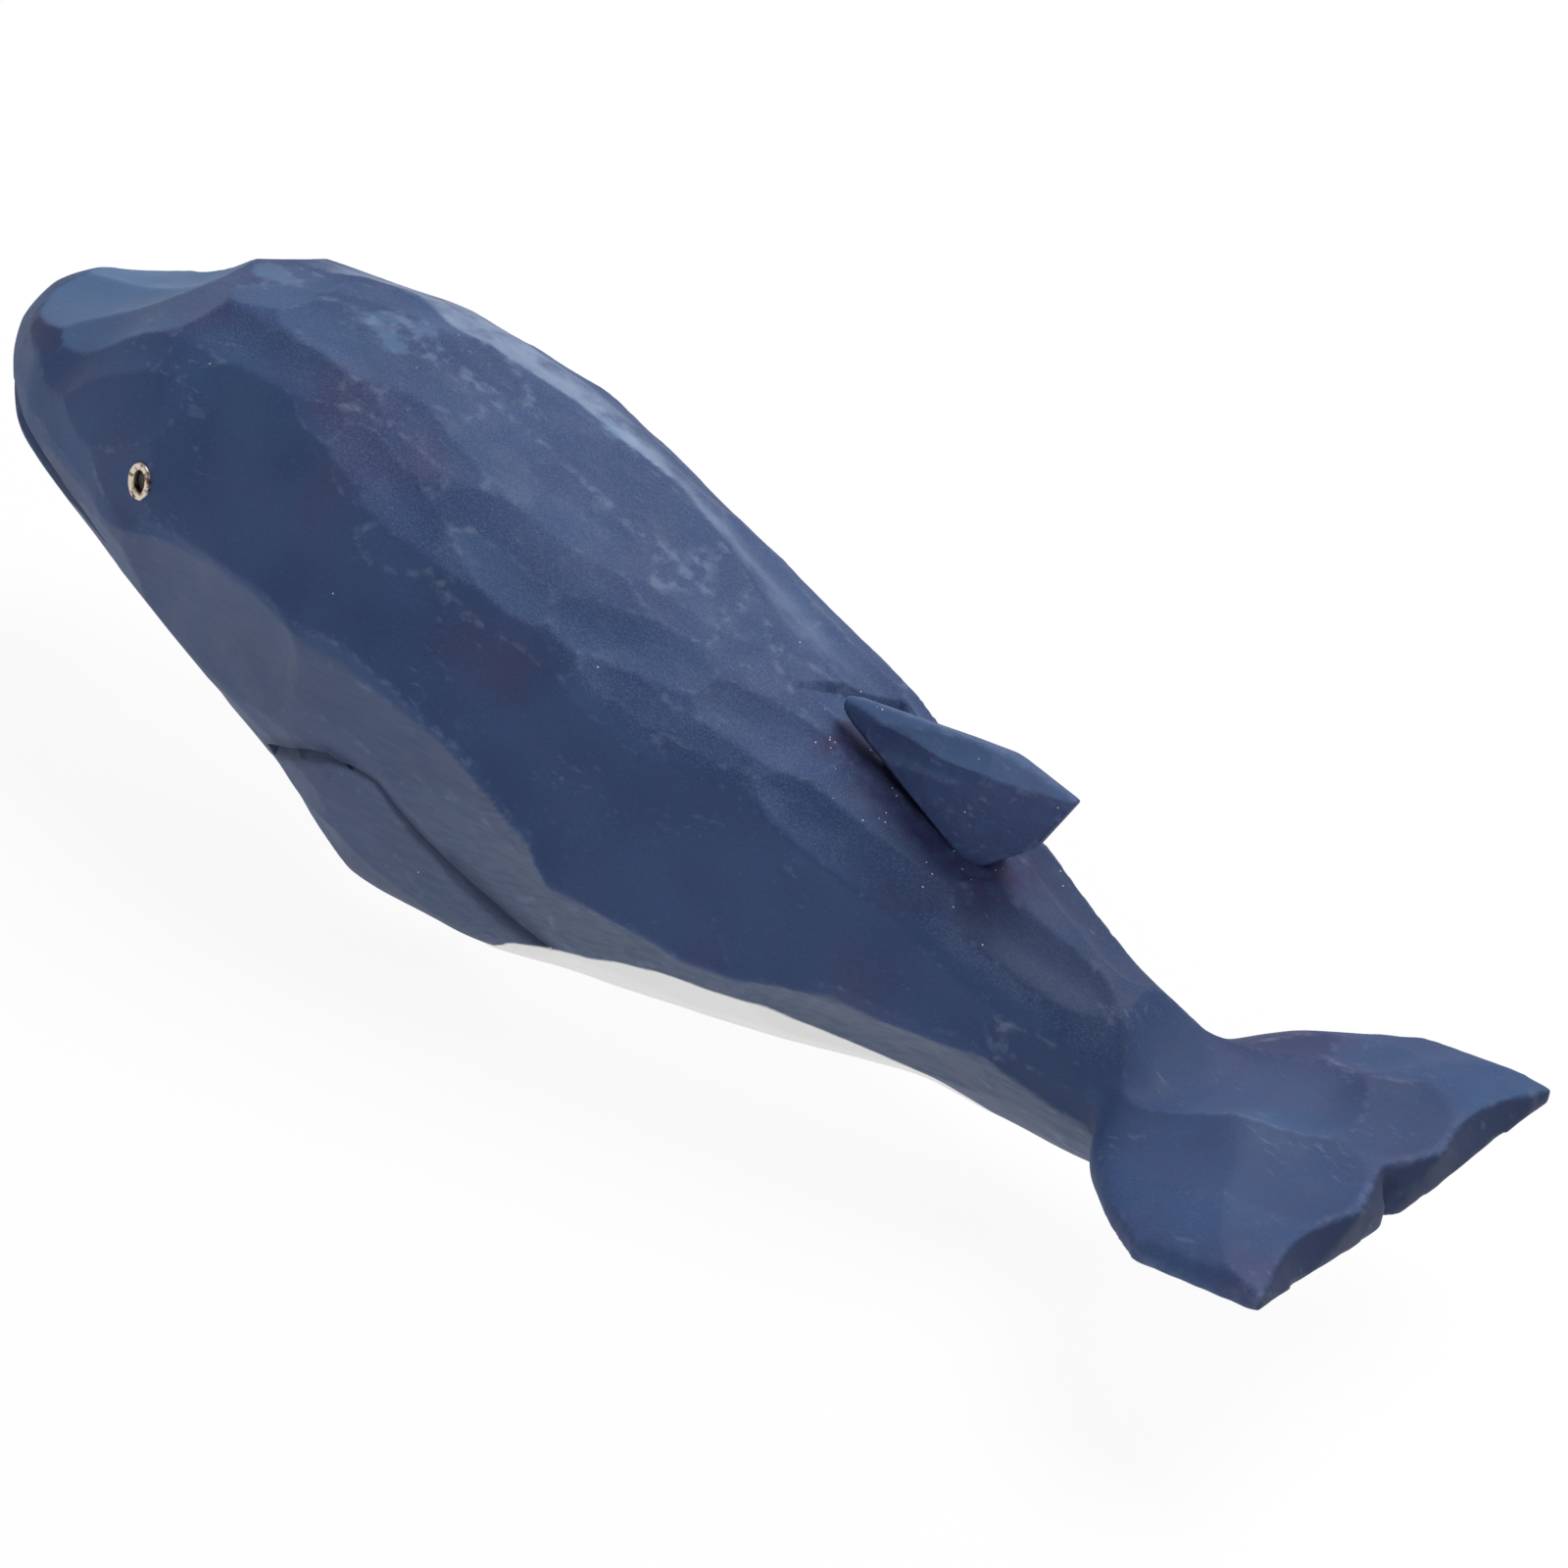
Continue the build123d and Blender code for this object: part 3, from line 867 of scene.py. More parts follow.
@dataclass(frozen=True)
class Groove:
    """A cut along a line, with a straight wall on each side of its bottom."""
    upper: float                 # how far its bottom lies from the lip above it
    lower: float                 # and from the lip below it
    depth: float
    lift: float = 3 * MM         # how far the tool stands out of the wood

    def tool(self, name: str, spots: list[Spot], sizes: Iterable[float]) -> Object:
        """Make the closed shape that cuts the groove.

        Args:
            name: name of the tool.
            spots: points of its line on the wood.
            sizes: how large the groove is at each point, as a share.

        Returns:
            The tool, to be cut with and then thrown away.
        """
        shape = bmesh.new()
        rings = []
        last = len(spots) - 1
        for i, ((spot, normal), size) in enumerate(zip(spots, sizes)):
            along = (spots[min(i + 1, last)][0] - spots[max(i - 1, 0)][0]).normalized()
            across = normal.cross(along).normalized()
            rise = 1 + self.lift / (self.depth * size)
            corners = [spot - normal * self.depth * size]
            for lip in (across * self.upper, across * -self.lower):
                corners.append(corners[0] + (normal * self.depth + lip) * size * rise)
            ring = [shape.verts.new(corner) for corner in corners]
            rings.append([shape.edges.new(pair) for pair in zip(ring, ring[1:] + ring[:1])])
        for first, second in zip(rings, rings[1:]):
            bmesh.ops.bridge_loops(shape, edges=first + second)
        for ring in (rings[0], rings[-1]):
            bmesh.ops.edgeloop_fill(shape, edges=ring)
        bmesh.ops.recalc_face_normals(shape, faces=shape.faces)
        return new_piece(name, as_mesh(shape, name))


def cut_with(piece: Object, tools: list[Object]) -> None:
    """Cut tools out of a piece and throw them away.

    Args:
        piece: the piece.
        tools: closed shapes.
    """
    for tool in tools:
        cut = piece.modifiers.new(tool.name, "BOOLEAN")
        cut.operation = "DIFFERENCE"
        cut.solver = "EXACT"
        cut.object = tool
    apply_modifiers(piece)
    for tool in tools:
        bpy.data.objects.remove(tool)


@dataclass(frozen=True)
class Zone:
    """A stretch of the body where the paint changes. Stations are in mm."""
    edge: Span                   # fade across it
    start: Span                  # stations of the fade at its front
    end: Span                    # and at its rear

    def share(self, across: np.ndarray, x: np.ndarray) -> np.ndarray:
        """How far points lie inside the zone, by a measure across it and their stations."""
        return smooth_step(across, *self.edge) * window(x, self.start, self.end)


@dataclass
class CarvedBody(Carving):
    """The one block: trunk, flippers, stock and flukes, shaved with a knife."""
    grain: float = 0.34 * MM
    faces_kept: float = 0.7      # share left once the small faces on the flats are merged
    calm_rounds: int = 150
    tail: Span = (33 * MM, 44 * MM)              # stations where the trunk ends
    root: Span = (50 * MM, 56 * MM)              # and the flukes' root
    root_side: Span = (11 * MM, 16 * MM)         # how far to the sides the root reaches
    root_calm: float = 1.0       # how much of the calming the root gets
    edge_calm: float = 0.015     # and the flukes' thin edges
    bed_ease: float = 0.5        # how much of one round the whole skin is calmed after the cuts
    core_heights: Pairs = (   # mm: station, and height of the trunk's middle
        (-65, 21), (-45, 19.5), (-20, 19), (0, 18.5), (20, 18), (40, 17), (66, 17))
    fill_tries: int = 1500
    seed: int = 7
    mouth_front: float = 21.0 * MM               # height of the mouth at the snout
    mouth_corner: tuple[float, float] = (-46.0 * MM, 17.0 * MM)
    mouth_shares: tuple[float, ...] = (1, 0.85, 0.65, 0.45, 0.28, 0.14, 0.05)    # from its corner forward
    mouth_end: float = 0.3       # size of its groove at the corners
    mouth_groove: Groove = Groove(0.8 * MM, 0.6 * MM, 0.9 * MM)
    mouth_pool_and_shade: float = 1.3 * MM                 # how far the paint that pools in a cut, and its painted shade, reach
    flipper_pool_and_shade: float = 1.6 * MM
    pool_steps: int = 40         # places along a cut's bottom for each of its points
    cut_reach: float = 12 * MM   # how far from a cut its paint and its slope are worked out
    flipper_groove: Groove = Groove(0.25 * MM, 0.7 * MM, 0.9 * MM)
    flipper_line: Pairs = (
        (275, 762), (290, 765), (310, 767), (335, 771), (360, 783), (384, 798), (404, 824),
        (428, 852), (456, 880), (486, 908), (518, 936), (545, 957), (563, 968))
    flipper_sizes: tuple[float, ...] = (1.0, 1.1, 1.1, 0.8, 0.55, 0.55, 0.75, 1.05, 1.2, 1.3, 1.3, 1.1, 0.5)
    bed_step: float = 0.9 * MM
    bed_width: float = 6 * MM
    bed_line: Pairs = (
        (816, 700), (830, 698), (846, 699), (865, 700), (885, 703), (905, 708), (925, 718), (944, 732))
    bed_sizes: tuple[float, ...] = (0.3, 0.6, 0.8, 1.0, 1.0, 1.0, 0.9, 0.8)
    bed_steps: int = 12
    bed_slack: float = 0.5 * MM  # how far past its ends the rim cuts
    ray_lift: float = 10 * MM    # height over the fin from which rays look for the back
    ray_margin: float = 1 * MM   # and how far from the fin's ends
    # Where the white paint of the belly ends: under the jaw by station and height in mm, then by pixels
    jaw_border: Pairs = (
        (-66, 14), (-57, 14.5), (-50, 14.5), (-44, 12.5), (-40, 10.6), (-35, 8.6), (-30, 6.5), (-18, 2.4),
        (-10, 1.6), (-6, 2.4))
    belly_line: Pairs = (
        (517, 962), (560, 968), (600, 976), (640, 984), (690, 997), (740, 1015), (790, 1030), (840, 1050),
        (880, 1067), (920, 1085), (955, 1105), (978, 1117))
    stock_border: Pairs = ((36, 5.5), (44, 6), (66, 6))
    # Arrises between the long flats, from the snout back
    spine_line: Pairs = (
        (335, 280), (380, 287), (412, 297), (462, 335), (500, 357), (537, 379), (587, 410), (637, 454),
        (694, 497), (750, 572), (800, 635), (837, 672), (940, 790), (1010, 860), (1100, 955), (1170, 1020))
    saddle_line: Pairs = (
        (270, 296), (319, 316), (369, 341), (412, 385), (462, 422), (506, 460), (550, 510), (575, 541),
        (650, 610), (706, 629), (787, 660), (819, 697), (900, 800), (1000, 880), (1100, 985))
    shoulder_line: Pairs = (
        (200, 345), (260, 370), (310, 400), (332, 442), (365, 512), (400, 545), (450, 580), (500, 615),
        (550, 650), (600, 710), (650, 755), (700, 780), (750, 800), (830, 870), (920, 930), (970, 975),
        (1050, 1030), (1110, 1080))
    flank_line: Pairs = (
        (119, 535), (166, 552), (216, 578), (250, 600), (300, 645), (350, 675), (400, 715), (450, 755),
        (500, 810), (540, 860), (560, 905), (600, 920), (650, 950), (700, 980), (750, 997), (850, 1015),
        (900, 1040), (950, 1062), (1010, 1075), (1025, 1090), (1080, 1130))
    flat_shares: tuple[float, ...] = (0.5, 0.3, 0.85, 0.8)   # how much of the round each long flat takes off
    flat_fade: float = 6 * MM
    # What the paint does, in mm, in cosines of the outward direction and in radians round the trunk
    under_from: float = 44               # station past which the white lies on what faces down
    under_slope: float = 0.55
    under_sharpness: float = 6
    girth_height: float = 18             # height of the trunk's middle, for distances round it
    thin: Zone = Zone((-0.1, 0.25), (-58, -52), (42, 46))        # bare below the flank's arris
    thin_slope: Span = (0.2, 0.5)        # but not on what faces up
    thin_fore: tuple[float, float, float] = (0.5, -20, 5)        # its share at the front, and where that ends
    back: Zone = Zone((-0.1, 0.2), (-57, -48), (40, 48))         # powdery above the shoulder's arris
    painted_spine_highlight: Zone = Zone((-0.1, 0.3), (-46, -38), (4, 16))         # painted highlight above the spine's
    painted_spine_highlight_far: Span = (2.05, 2.3)        # to this angle on the far side
    painted_spine_highlight_lost: tuple[float, float, float] = (0.7, -14, 0)       # what it loses, and where
    fin_nose: float = 4                  # how far inside the fin's ends and sides the plum starts
    fin_heel: float = 3
    fin_side: float = 2.6
    plum_shade_reach: float = 1.5
    dust_reach: float = 2.8
    plum_height: float = 20              # not under the body
    stock: Zone = Zone((0.3, 0.8), (12, 24), (44, 50))           # darker on top of the stock
    stock_tone: float = -0.3
    wall_slope: Span = (0.45, 0.7)       # walls of the flukes' trailing edge, given painted shade
    wall_from: Span = (46, 50)
    wall_painted_shade: float = -0.6
    ridge_gain: float = 5.0              # how much a proud edge of the flukes is worn
    ridge_most: float = 0.8
    ridge_from: Span = (44, 47)

    def build(self, cuts: list[Cut]) -> tuple[Object, BVHTree]:
        """Make the body.

        Args:
            cuts: the strokes on the left flank.

        Returns:
            The finished piece, and its surface before the grooves.
        """
        shape = merged_copy("body", "left_eye_ring", "right_eye_ring", "left_eye_pupil", "right_eye_pupil")
        self.fill_pocket(shape)
        piece = even_mesh("carved_body", shape, self.grain)
        skin = Skin(piece.data)
        self.calm(skin)
        strokes = self.fill_in(skin, self.lay(cuts, skin, tuple(Side)), self.fill_tries, self.seed)
        lines = self.arris_lines(skin)
        bed = self.bed_depth(skin)
        self.shave(skin, strokes, self.flats(skin, lines), self.calm_share(skin.points))
        skin.points -= skin.normals() * bed[:, None]
        skin.points = skin.ease(skin.points, 1, self.bed_ease)
        skin.points[:, 2] = np.maximum(skin.points[:, 2], cad_box[0][2])
        skin.write()
        thinner = piece.modifiers.new("thinner", "DECIMATE")
        thinner.ratio = self.faces_kept
        apply_modifiers(piece)
        wood = surface_of(piece.data)
        tools, bottoms = self.groove_tools(wood)
        border = self.belly_heights(wood)
        cut_with(piece, tools + [Eye(side).drill(wood) for side in Side])
        self.note_paint(Skin(piece.data), bottoms, border, lines)
        log.info("%d strokes on the body", len(strokes))
        return piece, wood

    def fill_pocket(self, shape: BMesh) -> None:
        """Fill the fin's pocket, because the fin hides it.

        Args:
            shape: the body, which gets the fin's foot as a plug.
        """
        low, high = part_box("dorsal_fin")
        back = BVHTree.FromBMesh(shape)
        front, rear = (back.ray_cast(Vector((x, 0, high.z + self.ray_lift)), Vector((0, 0, -1)))[0]
                       for x in (low.x - self.ray_margin, high.x + self.ray_margin))
        plug = merged_copy("dorsal_fin")
        run = rear - front
        trim(plug, front, Vector((-run.z, 0, run.x)))
        shape.from_mesh(as_mesh(plug, "plug"))

    def calm_share(self, points: np.ndarray) -> np.ndarray:
        """Share the calming out: all on the trunk, and little at the flukes' edges.

        Args:
            points: places on the wood.

        Returns:
            How much of it each point gets.
        """
        trunk = 1 - smooth_step(points[:, 0], *self.tail)
        root = (1 - smooth_step(np.abs(points[:, 1]), *self.root_side)) * self.root_calm
        root *= 1 - smooth_step(points[:, 0], *self.root)
        return np.maximum(trunk, np.maximum(root, self.edge_calm))

    def calm(self, skin: Skin) -> None:
        """Round the solid's flats off, and keep its girth.

        Args:
            skin: the wood.
        """
        first = skin.points.copy()
        skin.points = skin.ease(skin.points, self.calm_rounds, self.calm_share(first))
        normals = skin.normals()
        lost = np.einsum("ij,ij->i", first - skin.points, normals)
        skin.points += normals * skin.ease(np.maximum(lost, 0), self.calm_rounds)[:, None]

    def arris_lines(self, skin: Skin) -> ArrisLines:
        """Lay the long arrises on the wood.

        Args:
            skin: the wood.

        Returns:
            Stations and angles round the trunk of each arris.
        """
        tree = skin.surface()
        lines = {}
        for arris, pixels in zip(Arris, (self.spine_line, self.saddle_line, self.shoulder_line,
                                         self.flank_line, self.belly_line)):
            spots = np.array(self.photo.places(tree, pixels))
            spots = spots[np.argsort(spots[:, 0])]
            lines[arris] = (spots[:, 0], self.angle(spots, Side.LEFT))
        return lines

    def angle(self, points: np.ndarray, side: Side) -> np.ndarray:
        """Measure round the trunk, from level at one flank up over the spine.

        Args:
            points: places on the wood.
            side: the flank.

        Returns:
            The angle of each point.
        """
        stations, heights = np.array(self.core_heights).T * MM
        rise = points[:, 2] - np.interp(points[:, 0], stations, heights)
        return np.arctan2(rise, points[:, 1] * side.value)

    def flats(self, skin: Skin, lines: ArrisLines) -> list[np.ndarray]:
        """Pare the wood flat between neighbouring arrises.

        Args:
            skin: the wood.
            lines: the long arrises.

        Returns:
            How deep each long flat cuts at each point, side by side from the spine down.
        """
        stations, heights = np.array(self.core_heights).T * MM
        x = skin.points[:, 0]
        core = np.interp(x, stations, heights)
        radius = np.hypot(skin.points[:, 1], skin.points[:, 2] - core)
        arrises = list(lines.values())
        cuts = []
        for side in Side:
            angle = self.angle(skin.points, side)
            for (x_upper, upper), (x_lower, lower), share in zip(arrises, arrises[1:], self.flat_shares):
                high = np.interp(x, x_upper, upper)
                low = np.interp(x, x_lower, lower)
                first = max(x_upper[0], x_lower[0])
                last = min(x_upper[-1], x_lower[-1])
                here = window(x, (first, first + self.flat_fade), (last - self.flat_fade, last))
                middle = (high + low) / 2
                chord = radius * (1 - np.cos((high - low) / 2) / np.cos(angle - middle))
                inside = (angle > low) & (angle < high)
                cuts.append(np.where(inside, chord * here * share, 0))
        return cuts

    def bed_depth(self, skin: Skin) -> np.ndarray:
        """Pare the bed in front of the fin: a step at its rim that slopes out again.

        Args:
            skin: the wood.

        Returns:
            How deep the bed is at each point.
        """
        rim = self.photo.places(skin.surface(), self.bed_line)
        rows = refine(np.column_stack((rim, self.bed_sizes)), self.bed_steps)
        track = rows[:, :3]
        ahead = np.gradient(track, axis=0)
        ahead /= np.linalg.norm(ahead, axis=1)[:, None]
        near = np.linalg.norm(skin.points - track.mean(0), axis=1) < self.cut_reach
        gap = skin.points[near, None] - track[None]
        closest = np.linalg.norm(gap, axis=2).argmin(axis=1)
        size = rows[closest, 3]
        gap = gap[np.arange(len(gap)), closest]
        inward = np.cross(ahead[closest], skin.normals()[near])
        reach = np.einsum("ij,ij->i", gap, inward)
        beside = np.abs(np.einsum("ij,ij->i", gap, ahead[closest])) < self.bed_slack
        share = np.clip(1 - reach / self.bed_width / size, 0, 1) * (reach > 0) * beside
        depth = np.zeros(len(skin.points))
        depth[near] = share * size * self.bed_step
        return depth

    def belly_heights(self, wood: BVHTree) -> np.ndarray:
        """Stations and heights in mm of the border between the blue and the white paint."""
        cast = sorted((place.x / MM, place.z / MM) for place in self.photo.places(wood, self.belly_line))
        return np.array([*self.jaw_border, *cast, *self.stock_border])

    def groove_tools(self, wood: BVHTree) -> tuple[list[Object], np.ndarray]:
        """Make the tools for the mouth and the flippers' upper edges.

        Args:
            wood: the body before the cuts.

        Returns:
            The tools, and points along their bottoms with the reach of the paint that pools there and of the
            painted shade.
        """
        left = [self.photo.hit(wood, pixel)[:2] for pixel in self.flipper_line]
        right = self.other_side(left)
        cuts = [("mouth", self.mouth_groove, *self.mouth_line(wood), self.mouth_pool_and_shade)]
        for spots, sizes in ((left, self.flipper_sizes), (right, self.flipper_sizes[::-1])):
            cuts.append(("flipper", self.flipper_groove, spots, sizes, self.flipper_pool_and_shade))
        tools = []
        bottoms = []
        for name, groove, spots, sizes, pool_and_shade in cuts:
            tools.append(groove.tool(name, spots, sizes))
            line = [place - normal * groove.depth * size for (place, normal), size in zip(spots, sizes)]
            bottom = refine(np.column_stack((line, sizes)), self.pool_steps)
            bottom[:, 3] *= pool_and_shade
            bottoms.append(bottom)
        return tools, np.concatenate(bottoms)

    def other_side(self, line: list[Spot]) -> list[Spot]:
        """The same line on the other flank, backwards."""
        return [(mirrored(place), mirrored(normal)) for place, normal in reversed(line)]

    def mouth_line(self, wood: BVHTree) -> tuple[list[Spot], list[float]]:
        """Lay the mouth round the snout, from one corner to the other.

        Args:
            wood: the body before the cuts.

        Returns:
            Points of the line, and the groove's size at each.
        """
        low_corner = cad_box[0]
        snout = low_corner[0]
        corner_x, corner_z = self.mouth_corner
        left = []
        for share in self.mouth_shares:
            x = snout + (corner_x - snout) * share
            z = self.mouth_front + (corner_z - self.mouth_front) * share
            left.append(wood.ray_cast(Vector((x, low_corner[1] * 2, z)), Vector((0, 1, 0)))[:2])
        front = wood.ray_cast(Vector((snout * 2, 0, self.mouth_front)), Vector((1, 0, 0)))[:2]
        sizes = [self.mouth_end] + [1.0] * (2 * len(left) - 1) + [self.mouth_end]
        return left + [front] + self.other_side(left), sizes

    def note_paint(self, skin: Skin, bottoms: np.ndarray, border: np.ndarray, lines: ArrisLines) -> None:
        """Note where the paint is white, gathered in the grooves with painted shade, thin, powdery, plum with
        painted shade, dusty, darker or worn, with painted shade on the trailing walls and a painted highlight
        along the spine.

        Args:
            skin: the finished wood.
            bottoms: points along the grooves' bottoms, each with the reach of its gathered paint and painted
                shade.
            border: stations and heights in mm of the white paint's border.
            lines: the long arrises.
        """
        x, y, z = skin.points.T / MM
        normals = skin.normals()
        under = (-normals[:, 2] - self.under_slope) * self.under_sharpness
        skin.store("belly", np.where(x > self.under_from, under, np.interp(x, *border.T) - z))
        # paint gathered along the grooves' bottoms, with painted shade there
        pooled_and_shaded = np.zeros(len(x))
        for start in range(0, len(bottoms), self.pool_steps):
            part = bottoms[start:start + self.pool_steps]
            near = np.linalg.norm(skin.points - part[:, :3].mean(0), axis=1) < self.cut_reach
            gap = np.linalg.norm(skin.points[near, None] - part[None, :, :3], axis=2) / part[:, 3]
            pooled_and_shaded[near] = np.maximum(pooled_and_shaded[near], 1 - gap.min(axis=1))
        skin.store("groove", np.clip(pooled_and_shaded, 0, 1))

        # Bare and powdery stretches, and the painted highlight along the spine, by distances round the trunk
        # from the long arrises
        girth = np.hypot(y, z - self.girth_height)
        left, right = (self.angle(skin.points, side) for side in Side)
        own = np.where(y < 0, left, right)
        flank, shoulder, spine = (np.interp(skin.points[:, 0], *lines[arris])
                                  for arris in (Arris.FLANK, Arris.SHOULDER, Arris.SPINE))
        thin = self.thin.share((flank - own) * girth, x) * (1 - smooth_step(normals[:, 2], *self.thin_slope))
        fore, *fade = self.thin_fore
        skin.store("thin", thin * (fore + (1 - fore) * smooth_step(x, *fade)))
        skin.store("back", self.back.share((own - shoulder) * girth, x))
        # painted highlight along the spine, fading towards the far side and the rear
        painted_spine_highlight = self.painted_spine_highlight.share((left - spine) * girth, x) * (1 - smooth_step(left, *self.painted_spine_highlight_far))
        lost, *fade = self.painted_spine_highlight_lost
        skin.store("painted_spine_highlight", painted_spine_highlight * (1 - lost * smooth_step(x, *fade)))

        # Plum paint with painted shade, and dust, round the fin's root
        low, high = (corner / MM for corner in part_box("dorsal_fin"))
        past = np.maximum(x - high.x + self.fin_nose, low.x + self.fin_heel - x).clip(0)
        gap = np.hypot(np.clip(np.abs(y) - self.fin_side, 0, None), past)
        for name, reach in (("plum", self.plum_shade_reach), ("dust", self.dust_reach)):
            skin.store(name, np.exp(-(gap / reach) ** 2) * (z > self.plum_height))

        # Painted shade on the trailing walls, darker on top of the stock, and worn edges of the flukes
        walls = smooth_step(normals[:, 0], *self.wall_slope) * smooth_step(x, *self.wall_from)
        stock = self.stock.share(normals[:, 2], x)
        skin.store("tone", skin.recall("tone") + self.wall_painted_shade * walls + self.stock_tone * stock)
        worn = np.clip(skin.ease(skin.ridges(self.grain), 1) * self.ridge_gain, 0, self.ridge_most)
        skin.store("arris", np.maximum(skin.recall("arris"), worn * smooth_step(x, *self.ridge_from)))


@dataclass
class DorsalFin(Carving):
    """The small fin, a carved wedge let into the back."""
    grain: float = 0.16 * MM
    flat_angle: float = 1.0              # degrees: faces that meet at less are one
    sharp_angle: float = 12.0            # degrees: arrises that turn more are rounded
    round_off: float = 0.3 * MM
    round_steps: int = 3
    calm_rounds: int = 6
    paint_rounds: int = 3
    ridge_gain: float = 12.0             # how much a proud arris is worn
    ridge_most: float = 0.8
    steep: Span = (0.4, 0.7)             # cosines of the outward direction where its sides end
    # painted light on the top, and painted shade with plum on the steep sides
    top_painted_light: float = 0.1
    side_painted_shade: float = -0.15
    side_plum_and_shade: float = 0.3
    even_looks: tuple[tuple[str, float], ...] = (
        ("belly", -5), ("groove", 0), ("thin", 0), ("painted_spine_highlight", 0), ("back", 0.3), ("dust", 0.1))
    # Cuts that pare off its heel and its nose: a pixel, and the outward direction in the picture
    pared: tuple[tuple[tuple[float, float], tuple[float, float]], ...] = (
        ((1037, 874), (0.33, 0.94)), ((868, 731), (-0.787, 0.617)), ((862, 718), (-0.95, -0.3)))

    def build(self, cuts: list[Cut]) -> Object:
        """Make the fin.

        Args:
            cuts: the strokes on its left side.

        Returns:
            The finished piece.
        """
        shape = merged_copy("dorsal_fin")
        bmesh.ops.dissolve_limit(shape, angle_limit=math.radians(self.flat_angle), verts=shape.verts,
                                 edges=shape.edges)
        right, up, _ = self.photo.axes()
        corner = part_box("dorsal_fin")[1]
        for pixel, slope in self.pared:
            ray = self.photo.direction(*pixel)
            spot = self.photo.position() + ray * (corner - self.photo.position()).dot(ray)
            outward = right * slope[0] - up * slope[1]
            trim(shape, spot, outward)
            trim(shape, mirrored(spot), mirrored(outward))
        sharp = [edge for edge in shape.edges if len(edge.link_faces) == 2
                 and edge.calc_face_angle() > math.radians(self.sharp_angle)]
        bmesh.ops.bevel(shape, geom=sharp, offset=self.round_off, affect="EDGES", segments=self.round_steps,
                        profile=0.5, material=-1, clamp_overlap=True)
        piece = even_mesh("carved_fin", shape, self.grain)
        skin = Skin(piece.data)
        skin.points = skin.ease(skin.points, self.calm_rounds)
        self.shave(skin, self.lay(cuts, skin, (Side.LEFT,)), [], np.zeros(len(skin.points)))
        self.note_paint(skin)
        return piece

    def note_paint(self, skin: Skin) -> None:
        """Note painted light on the top, plum paint and painted shade on the steep sides, and worn arrises.

        Args:
            skin: the finished wood.
        """
        # painted light on the top and painted shade on the steep sides, by their outward direction
        sides = 1 - smooth_step(skin.normals()[:, 2], *self.steep)
        tone = skin.ease(self.top_painted_light + sides * self.side_painted_shade, self.paint_rounds)
        skin.store("tone", skin.recall("tone") + tone)
        worn = np.clip(skin.ridges(self.grain) * self.ridge_gain, 0, self.ridge_most)
        skin.store("arris", skin.ease(worn, self.paint_rounds))
        skin.store("plum", skin.ease(sides * self.side_plum_and_shade, self.paint_rounds))
        for name, value in self.even_looks:
            skin.store(name, np.full(len(skin.points), float(value)))


@dataclass(frozen=True)
class Turned:
    """A turned piece of an eye, measured by the eyelet's outer radius."""
    node: str                    # end of its node's name, and its slot
    profile: Pairs               # from the axis, and up
    hollow: bool                 # whether the profile runs back to its start
    unevenness: float = 0.0


EYELET = Turned("eye_ring", (
    (0.56, -0.7), (0.56, -0.12), (0.6, 0.0), (0.67, 0.05), (0.74, 0.03), (0.80, 0.02), (0.90, 0.08),
    (0.97, 0.04), (1.0, -0.08), (1.0, -0.5)), True, 0.05)
PEG = Turned("eye_pupil", ((0.58, -0.7), (0.58, -0.4), (0.5, -0.34), (0.35, -0.31), (0, -0.3)), False)


